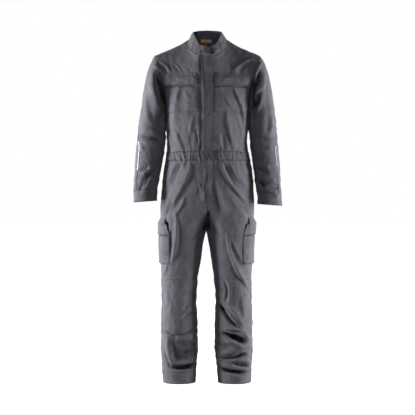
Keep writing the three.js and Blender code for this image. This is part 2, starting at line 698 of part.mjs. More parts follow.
// Chest pockets, a little full in the middle, and their flaps
const rise = (share) => Math.sin(Math.PI * clamp01(share));
for (const [sideName, side] of Object.entries(SIDES)) {
  const rows = upper["front_" + sideName];
  const { inner, outer, flapOuter } = POCKET_U[sideName];
  const pocket = part(rows, inner, outer, FLAP_TOP_Z - 20, CHEST_POCKET_LOW_Z);
  const pocketLift = (r, i, line) =>
    PATCH_LIFT + CHEST_PUFF * rise(r / (pocket.length - 1)) * rise(i / (line.length - 1));
  addMesh("chest_pocket_" + sideName, patchGeometry(pocket, side > 0, pocketLift), CLOTH);
  const flap = part(rows, inner, flapOuter, FLAP_TOP_Z, FLAP_LOW_Z);
  const flapLift = (r) => PATCH_LIFT + (r < flap.length - 1 ? CHEST_PUFF + PATCH_WALL + PATCH_LIFT : 0);
  addMesh("chest_flap_" + sideName, patchGeometry(flap, side > 0, flapLift), CLOTH);
}

// Cargo pockets wrap the side seam. They stand off the leg, with sides that come down to it.
for (const [sideName, side] of Object.entries(SIDES)) {
  const front = legs["front_" + sideName];
  const back = legs["back_" + sideName];
  const around = (frontU, high, low) =>
    joined(part(front, frontU, 1, high, low), part(back, CARGO.backU, 1, high, low), 1);
  const pocket = around(CARGO.frontU, CARGO.pocketTop, CARGO.low);
  const pocketLift = (r, i, line) => {
    const edge = i === 0 || i === line.length - 1 || r === pocket.length - 1;
    return PATCH_LIFT + (edge ? 0 : CARGO.puff);
  };
  addMesh("cargo_pocket_" + sideName, patchGeometry(pocket, side < 0, pocketLift), CLOTH);
  const flap = around(CARGO.flapU, CARGO.flapTop, CARGO.flapLow);
  const flapLift = (r) => PATCH_LIFT + (r > 0 ? CARGO.puff + PATCH_WALL + PATCH_LIFT : 0);
  addMesh("cargo_flap_" + sideName, patchGeometry(flap, side < 0, flapLift), CLOTH);
}

// Knee pockets
for (const [sideName, side] of Object.entries(SIDES)) {
  const rows = part(legs["front_" + sideName], KNEE.innerU, KNEE.outerU, KNEE.top, KNEE.low);
  addMesh("knee_pocket_" + sideName, patchGeometry(rows, side < 0, () => PATCH_LIFT), CLOTH);
}

// The placket covers the zip from the collar to the end of the fly.
const middleOf = (rows, high, low) =>
  joined(part(rows.front_right, 0, PLACKET_U, high, low), part(rows.front_left, 0, PLACKET_U, high, low), 0);
const placketRows = [
  ...middleOf(legs, WAIST_LOW_Z, FLY_LOW_Z).reverse(),
  ...middleOf(waist, 0, -1000).reverse().slice(1, -1),
  ...middleOf(upper, 0, -1000),
];
const placketLift = (r) => PATCH_LIFT * (r === placketRows.length - 1 ? 2 : 1);
addMesh("placket", patchGeometry(placketRows, true, placketLift, WALL), CLOTH);

// Piping in the outer seam of each sleeve at the elbow
for (const [sideName, side] of Object.entries(SIDES)) {
  const front = sleeves["front_" + sideName].sleeve;
  const back = sleeves["back_" + sideName].sleeve;
  const strip = [];
  front.forEach((line, r) => {
    const seam = line.at(-1).point;
    if (seam.z > PIPING_SIZE.high || seam.z < PIPING_SIZE.low) return;
    const beside = (other) => {
      const way = other.clone().sub(seam).setLength(PIPING_SIZE.wide / 2);
      return { point: Object.assign(seam.clone().add(way), { normal: seam.normal }) };
    };
    const ends = [beside(line.at(-2).point), { point: seam }, beside(back[r].at(-2).point)];
    strip.push(ends.map((end, i) => ({ ...end, u: i })));
  });
  addMesh("piping_" + sideName, patchGeometry(strip, side < 0, () => PATCH_LIFT, PIPING_SIZE.thick), PIPING);
}

// A plain label inside the collar, at the middle of the back
const nape = collar[0].map((_, i) => i).filter((i) => Math.abs(collar[0][i].u - 2) < LABEL_SIZE.shareU);
const labelRows = [LABEL_SIZE.low, LABEL_SIZE.high].map((share) =>
  nape.map((i) => {
    const [low, high] = [collar[0][i].point, collar[1][i].point];
    const normal = low.normal.clone().lerp(high.normal, share).normalize();
    return { u: collar[0][i].u, point: Object.assign(low.clone().lerp(high, share), { normal }) };
  }),
);
const labelLift = () => -(WALL + PATCH_LIFT + LABEL_SIZE.thick);
addMesh("neck_label", patchGeometry(labelRows, false, labelLift, LABEL_SIZE.thick), LABEL);

export default group;
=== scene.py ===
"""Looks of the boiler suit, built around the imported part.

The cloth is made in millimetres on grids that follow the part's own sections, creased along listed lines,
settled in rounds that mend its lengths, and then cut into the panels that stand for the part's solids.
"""

import itertools
import math

import bpy
import numpy as np
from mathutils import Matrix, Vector


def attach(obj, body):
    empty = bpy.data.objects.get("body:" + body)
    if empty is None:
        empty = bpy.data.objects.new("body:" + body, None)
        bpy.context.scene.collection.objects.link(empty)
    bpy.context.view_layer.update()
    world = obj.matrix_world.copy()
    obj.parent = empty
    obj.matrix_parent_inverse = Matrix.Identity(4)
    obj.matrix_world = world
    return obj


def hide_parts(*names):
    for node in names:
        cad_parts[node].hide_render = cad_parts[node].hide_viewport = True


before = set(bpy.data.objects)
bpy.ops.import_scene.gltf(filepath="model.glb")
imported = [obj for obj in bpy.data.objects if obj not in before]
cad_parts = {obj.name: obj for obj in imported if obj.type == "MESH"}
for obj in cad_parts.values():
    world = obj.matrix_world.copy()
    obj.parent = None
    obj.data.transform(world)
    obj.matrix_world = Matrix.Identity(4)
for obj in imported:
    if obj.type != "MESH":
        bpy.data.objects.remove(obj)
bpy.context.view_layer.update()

MM = 0.001
SIDES = {"right": -1, "left": 1}
FACES = {"front": -1, "back": 1}
SIDE_NAMES = {side: name for name, side in SIDES.items()}
FACE_NAMES = {face: name for name, face in FACES.items()}
EDGES = ("left", "right", "first", "last")


def table(names, *rows):
    """Columns of numbers by name."""
    return dict(zip(names.split(), np.array(rows, float).T))


# Heights, as in the solids
ARMPIT_Z = -290
WAIST_TOP_Z = -499
WAIST_LOW_Z = -536
SEAT_Z = -690
CROTCH_Z = -845
CROTCH_X = -5
SLEEVE_TOP_Z = -330
CUFF_Z = -662
CUFF_LOW_Z = -716
HEM_Z = -1516
FLAP_TOP_Z = -155
FLAP_LOW_Z = -209
CHEST_POCKET_LOW_Z = -326
FLY_LOW_Z = -720

TRUNK_SQUARE = 2.35
LIMB_SQUARE = 2.15

TRUNK = table(
    "z right left front back",
    (-290, -193, 188, -126, 118),
    (-340, -187, 184, -126, 110),
    (-400, -183, 178, -122, 100),
    (-445, -181, 176, -119, 100),
    (-499, -181, 181, -120, 105),
    (-536, -187, 189, -122, 113),
    (-600, -197, 200, -124, 128),
    (-690, -204, 205, -121, 139),
    (-760, -210, 208, -113, 137),
    (-845, -206, 203, -106, 124),
)
LEGS = table(
    "z rightOut rightIn leftIn leftOut front back",
    (-690, -204, 0, 0, 205, -121, 139),
    (-845, -206, -5, -5, 203, -106, 124),
    (-865, -206, -13, 0, 199, -104, 120),
    (-900, -207, -20, 6, 196, -101, 113),
    (-945, -206, -26, 14, 195, -98, 105),
    (-992, -206, -33, 20, 198, -97, 98),
    (-1055, -205, -44, 30, 194, -96, 90),
    (-1135, -204, -49, 36, 196, -97, 82),
    (-1215, -206, -46, 34, 199, -98, 78),
    (-1280, -207, -44, 32, 200, -97, 80),
    (-1350, -207, -43, 32, 201, -87, 86),
    (-1420, -205, -46, 36, 199, -78, 88),
    (-1440, -203, -48, 40, 197, -76, 86),
    (-1455, -202, -50, 43, 196, -78, 84),
    (-1516, -197, -54, 48, 193, -78, 72),
)
SLEEVES = table(
    "z rightIn rightOut leftIn leftOut front back",
    (-330, 192, 299, 190, 300, -76, 82),
    (-400, 187, 309, 184, 308, -72, 74),
    (-433, 185, 312, 188, 311, -71, 69),
    (-470, 188, 316, 191, 315, -72, 63),
    (-540, 200, 321, 201, 321, -76, 50),
    (-610, 212, 325, 210, 323, -80, 34),
    (-676, 223, 326, 220, 328, -82, 18),
    (-722, 224, 327, 221, 331, -81, 9),
)
CUFF_SLOPE = -0.07
LEFT_SLEEVE_DROP = 15
SEAM_TURN = 0.8

NECK = dict(half=88, front=-85, back=80, sideZ=3, frontDrop=81, backRise=8, drop=0.75)
COLLAR = dict(half=64, front=-72, back=63, middleY=-4, sideZ=36, frontDrop=67, backRise=19)
COLLAR_FLAT = 0.4
COLLAR_BEND = 1.6
SHOULDER = dict(x=236, y=4, z=-69, sag=9)
# The ways in which the yoke's columns leave the chest and the armpit, and reach the middle of the neck,
# its corner and the shoulder's tip
YOKE = {
    -1: ((0, -8, 210), (-60, -250, 0), (0, 60, 170), (-30, 125, 190), (40, 250, 0)),
    1: ((0, 40, 290), (-30, 320, 0), (0, -120, 200), (-20, -190, 40), (30, -300, 0)),
}
SLEEVE_HEAD = dict(tip=(0.6, 0, -0.8), armpit=(0.25, 0, -0.97), bulge=0.8, start=0.8, end=0.96)

# Columns are shares of a quarter of the trunk, counted from the middle of the front or back.
PLACKET_U = 0.09
NECK_U = 0.45
POCKET_U = {"right": (0.15, 0.88, 0.94), "left": (0.12, 0.88, 0.88)}
CARGO = dict(flapTop=-785, top=-815, flapLow=-860, low=-992, frontU=0.66, flapU=0.74, backU=0.45)
KNEE = dict(top=-1055, low=-1295, innerU=0.15, outerU=0.85)


def mix(a, b, t):
    return a + (b - a) * t


def clamp01(t):
    return np.clip(t, 0, 1)


def smooth(t):
    t = clamp01(t)
    return t * t * (3 - 2 * t)


def near(value, middle, reach):
    """From 1 at a middle value down to 0 well beyond its reach."""
    return np.exp(-(((value - middle) / reach) ** 2))


def power(value, square):
    return np.sign(value) * np.abs(value) ** (2 / square)


def unit(v):
    return v / np.maximum(np.linalg.norm(v, axis=-1, keepdims=True), 1e-9)


def at(rows, column, z):
    """A column of a table at height z, on a smooth curve through its rows."""
    heights, values = rows["z"], rows[column]
    last = len(heights) - 1
    i = int(np.clip(np.searchsorted(-heights, -z, side="right") - 1, 0, last - 1))
    step = heights[i + 1] - heights[i]
    t = float(clamp01((z - heights[i]) / step))

    def slope(k):
        a, b = max(0, k - 1), min(last, k + 1)
        return (values[b] - values[a]) / (heights[b] - heights[a])

    return (
        values[i] * (1 - t) ** 2 * (1 + 2 * t)
        + values[i + 1] * t**2 * (3 - 2 * t)
        + step * slope(i) * t * (1 - t) ** 2
        - step * slope(i + 1) * t**2 * (1 - t)
    )


def bridge(a, m, b, n, t):
    """Points of a curve that leaves a along m and reaches b along n."""
    t = np.asarray(t, float)[..., None]
    start = a * (1 - t) ** 2 * (1 + 2 * t) + m * t * (1 - t) ** 2
    return start + b * t**2 * (3 - 2 * t) - n * t**2 * (1 - t)


def run_of(points):
    """Length along a line of points, from its start."""
    steps = np.linalg.norm(np.diff(points, axis=0), axis=1)
    return np.concatenate([[0], np.cumsum(steps)])


def along(curve, shares):
    """Points of a curve at the given shares of its length."""
    dense = curve(np.linspace(0, 1, 257))
    run = run_of(dense)
    goal = np.asarray(shares, float) * run[-1]
    return np.stack([np.interp(goal, run, dense[:, k]) for k in range(3)], axis=1)


def fill(keys, step):
    """The keys, with even places between them at most a step apart."""
    places = [keys[0]]
    for a, b in zip(keys, keys[1:]):
        count = max(1, math.ceil(abs(b - a) / step - 1e-6))
        places += [mix(a, b, (k + 1) / count) for k in range(count)]
    return np.array(places)


def trunk_quarter(side, face, z):
    half = at(TRUNK, SIDE_NAMES[side], z)
    deep = at(TRUNK, FACE_NAMES[face], z)

    def curve(t):
        angle = t * math.pi / 2
        x = half * power(np.sin(angle), TRUNK_SQUARE)
        y = deep * power(np.cos(angle), TRUNK_SQUARE)
        return np.stack([x, y, np.full_like(t, z)], axis=1)

    return curve


def neck_seam(side, face):
    def curve(t):
        middle = np.maximum(0, np.cos(t * math.pi / 2))
        x = side * NECK["half"] * np.sin(t * math.pi / 2)
        y = NECK[FACE_NAMES[face]] * middle
        rise = -NECK["frontDrop"] * middle ** NECK["drop"] if face < 0 else NECK["backRise"] * middle
        return np.stack([x, y, NECK["sideZ"] + rise], axis=1)

    return curve


def collar_edge(side, face):
    def curve(t):
        middle = np.cos(t * math.pi / 2)
        across = np.sin(t * math.pi / 2)
        out = np.maximum(0, (across - COLLAR_FLAT) / (1 - COLLAR_FLAT)) ** COLLAR_BEND
        deep = COLLAR[FACE_NAMES[face]]
        y = COLLAR["middleY"] + (deep - COLLAR["middleY"]) * middle
        rise = -COLLAR["frontDrop"] * (1 - out) if face < 0 else COLLAR["backRise"] * middle
        return np.stack([side * COLLAR["half"] * across, y, COLLAR["sideZ"] + rise], axis=1)

    return curve


def shoulder_seam(side, t):
    x = side * mix(NECK["half"], SHOULDER["x"], t)
    sag = SHOULDER["sag"] * (1 - t) * math.sin(math.pi * t)
    return np.array([x, mix(0, SHOULDER["y"], t), mix(NECK["sideZ"], SHOULDER["z"], t) - sag])


def yoke_column(side, face, u):
    """One column of the trunk above the armpit, from the chest row to the neck or shoulder seam."""
    chest, armpit, middle, neck, tip = np.array(YOKE[face], float)
    start = along(trunk_quarter(side, face, ARMPIT_Z), [u])[0]
    on_shoulder = (u - NECK_U) / (1 - NECK_U)
    leave = mix(chest, armpit, u**3)
    if u < NECK_U:
        end = along(neck_seam(side, face), [u / NECK_U])[0]
        arrive = mix(middle, neck, u / NECK_U)
    else:
        end = shoulder_seam(side, on_shoulder)
        arrive = mix(neck, tip, on_shoulder)
    flip = np.array([side, 1, 1])
    return lambda v: bridge(start, leave * flip, end, arrive * flip, v)


# The grids' places: rows up the trunk, rows down the legs and sleeves, and shares across a quarter
GRID_STEP = 7.5
COLUMNS = fill([0, PLACKET_U, 0.15, NECK_U, 0.66, 0.74, 0.88, 1], 0.026)
TRUNK_ROWS = fill([WAIST_TOP_Z, CHEST_POCKET_LOW_Z, ARMPIT_Z], GRID_STEP)
CHEST_ROWS = fill([ARMPIT_Z, FLAP_LOW_Z, FLAP_TOP_Z], GRID_STEP)[1:]
TURNED_ROWS = 24
WAIST_ROWS = fill([WAIST_TOP_Z, WAIST_LOW_Z], 6.5)
LEG_KEYS = [WAIST_LOW_Z, SEAT_Z, FLY_LOW_Z, CARGO["flapTop"], CROTCH_Z, CARGO["low"], KNEE["low"], HEM_Z]
LEG_ROWS = fill(LEG_KEYS, GRID_STEP)
HEAD_ROWS = 12
SLEEVE_ROWS = fill([SLEEVE_TOP_Z, CUFF_Z], GRID_STEP)[1:]
CUFF_ROWS = fill([CUFF_Z, CUFF_LOW_Z], GRID_STEP)


def yoke_shares(column):
    """The shares of a column at which the rows above the armpit cross it."""
    v = np.linspace(0, 1, 801)
    heights = column(v)[:, 2]
    crossing = [float(np.interp(z, np.maximum.accumulate(heights), v)) for z in CHEST_ROWS]
    turned = [mix(crossing[-1], 1, (k + 1) / TURNED_ROWS) for k in range(TURNED_ROWS)]
    return np.array(crossing + turned)


# How many rounds even out a ridge, and how far they reach from the neck's corner and the crotch
EVEN_ROUNDS = 220
RIDGE_REACH = 0.27
CROTCH_REACH = 75


def even_out(grid, share):
    """Draws every row but the first and last, by its share, to the middle of its neighbours."""
    for _ in range(EVEN_ROUNDS):
        grid[1:-1] += share * ((grid[:-2] + grid[2:]) / 2 - grid[1:-1])
    return grid


def soften(grid):
    """Rounds the ridge that runs down the yoke from the corner of the neck and shoulder seams."""
    first = len(TRUNK_ROWS)
    rise = (np.arange(len(grid)) - first + 1) / (len(grid) - first)
    share = smooth((rise + 0.1) / 0.3) * smooth((1 - rise) / 0.32)
    beside = near(COLUMNS, NECK_U, RIDGE_REACH)[1:-1, None]
    even_out(grid.swapaxes(0, 1), 0.5 * (beside * share)[..., None])
    return grid


def upper_grid(side, face):
    level = [along(trunk_quarter(side, face, z), COLUMNS) for z in TRUNK_ROWS]
    columns = [yoke_column(side, face, u) for u in COLUMNS]
    above = np.stack([column(yoke_shares(column)) for column in columns], axis=1)
    return soften(np.concatenate([np.array(level), above]))


def leg_row(side, face, z):
    name = SIDE_NAMES[side]
    hip = trunk_quarter(side, face, max(z, CROTCH_Z))
    outer = at(LEGS, name + "Out", z)
    down = float(clamp01((SEAT_Z - z) / (SEAT_Z - CROTCH_Z)))
    inner = CROTCH_X * down if z > CROTCH_Z else at(LEGS, name + "In", z)
    deep = at(LEGS, FACE_NAMES[face], z)

    def curve(t):
        angle = t * math.pi
        x = (inner + outer) / 2 - (outer - inner) / 2 * power(np.cos(angle), LIMB_SQUARE)
        y = deep * power(np.maximum(0, np.sin(angle)), LIMB_SQUARE)
        leg = np.stack([x, y, np.full_like(t, z)], axis=1)
        body = hip(t)
        body[:, 2] = z
        return body if z > SEAT_Z else mix(body, leg, down**3)

    return curve


def even_legs(grid):
    """Rounds the bend at the crotch's height, but for the seams up its middle."""
    share = np.exp(-(((LEG_ROWS - CROTCH_Z) / CROTCH_REACH) ** 4))[1:-1, None] * smooth(COLUMNS / 0.16)
    return even_out(grid, 0.5 * share[..., None])


def sleeve_section(side, face, z):
    name = SIDE_NAMES[side]
    inner, outer = at(SLEEVES, name + "In", z), at(SLEEVES, name + "Out", z)
    front, back = at(SLEEVES, "front", z), at(SLEEVES, "back", z)
    down = (SLEEVE_TOP_Z - z) / (SLEEVE_TOP_Z - CUFF_Z)
    turn = SEAM_TURN * float(smooth(down * 2))
    drop = LEFT_SLEEVE_DROP * float(clamp01(down)) if side > 0 else 0
    slope = CUFF_SLOPE * float(clamp01(down))

    def curve(t):
        angle = -turn - face * t * math.pi
        x = (outer - inner) / 2 * -power(np.cos(angle), LIMB_SQUARE)
        forward = power(np.sin(angle), LIMB_SQUARE)
        y = (front + back) / 2 - (back - front) / 2 * forward
        return np.stack([side * (x + (inner + outer) / 2), y, z - drop + slope * x], axis=1)

    return curve


def sleeve_grids(side, face):
    """Half a sleeve from the armhole to the cuff, and half the cuff."""
    edge = yoke_column(side, face, 1)
    armhole = edge(np.concatenate([[0], yoke_shares(edge)]))
    run = run_of(armhole)
    shares = run / run[-1]
    top = along(sleeve_section(side, face, SLEEVE_TOP_Z), shares)
    below = along(sleeve_section(side, face, SLEEVE_TOP_Z - 10), shares)
    reach = np.linalg.norm(top - armhole, axis=1)[:, None]
    leave = mix(np.array(SLEEVE_HEAD["armpit"]), np.array(SLEEVE_HEAD["tip"]), shares[:, None])
    leave[:, 1] += face * SLEEVE_HEAD["bulge"] * np.sin(math.pi * shares)
    leave[:, 0] *= side
    leave = unit(leave) * reach * SLEEVE_HEAD["start"]
    arrive = unit(below - top) * reach * SLEEVE_HEAD["end"]
    head = [bridge(armhole, leave, top, arrive, r / HEAD_ROWS) for r in range(HEAD_ROWS + 1)]
    arm = [along(sleeve_section(side, face, z), shares) for z in SLEEVE_ROWS]
    cuff = [along(sleeve_section(side, face, z), shares) for z in CUFF_ROWS]
    return np.array(head + arm), np.array(cuff)


def grid_normals(grid):
    down = np.gradient(grid, axis=0)
    across = np.gradient(grid, axis=1)
    return unit(np.cross(across, down))


def grid_quads(ids, turned):
    """A grid's faces, turned where its normals point inward."""
    a, b, c, d = ids[:-1, :-1], ids[:-1, 1:], ids[1:, 1:], ids[1:, :-1]
    order = (a, d, c, b) if turned else (a, b, c, d)
    return np.stack(order, axis=-1).reshape(-1, 4)


class Skin:
    """Every grid point once, shared where panels meet."""

    def __init__(self):
        self.points = []
        self.known = {}
        self.grids = {}

    def add(self, name, grid):
        rows = []
        for line in grid:
            row = []
            for p in line:
                key = tuple(np.round(p * 20).astype(int))
                if key not in self.known:
                    self.known[key] = len(self.points)
                    self.points.append(p)
                row.append(self.known[key])
            rows.append(row)
        self.grids[name] = np.array(rows)

    def finish(self):
        self.points = np.array(self.points)
        self.turned = {}
        for name, ids in self.grids.items():
            face = -1 if "front" in name else 1
            normals = grid_normals(self.points[ids])
            self.turned[name] = bool(normals[..., 1].mean() * face < 0)

    def quads(self):
        quads = np.concatenate([grid_quads(ids, self.turned[name]) for name, ids in self.grids.items()])
        distinct = np.array([len(set(q)) == 4 for q in quads.tolist()])
        return quads[distinct]

    def normals(self, points):
        total = np.zeros_like(points)
        for name, ids in self.grids.items():
            sign = -1 if self.turned[name] else 1
            n = grid_normals(points[ids]) * sign
            np.add.at(total, ids.ravel(), n.reshape(-1, 3))
        return unit(total)


skin = Skin()
for side_name, side in SIDES.items():
    for face_name, face in FACES.items():
        key = face_name + "_" + side_name
        waist = [along(trunk_quarter(side, face, z), COLUMNS) for z in WAIST_ROWS]
        legs = [along(leg_row(side, face, z), COLUMNS) for z in LEG_ROWS]
        arm, cuff = sleeve_grids(side, face)
        skin.add("upper_" + key, upper_grid(side, face))
        skin.add("waist_" + key, np.array(waist))
        skin.add("leg_" + key, even_legs(np.array(legs)))
        skin.add("sleeve_" + key, arm)
        skin.add("cuff_" + key, cuff)
skin.finish()

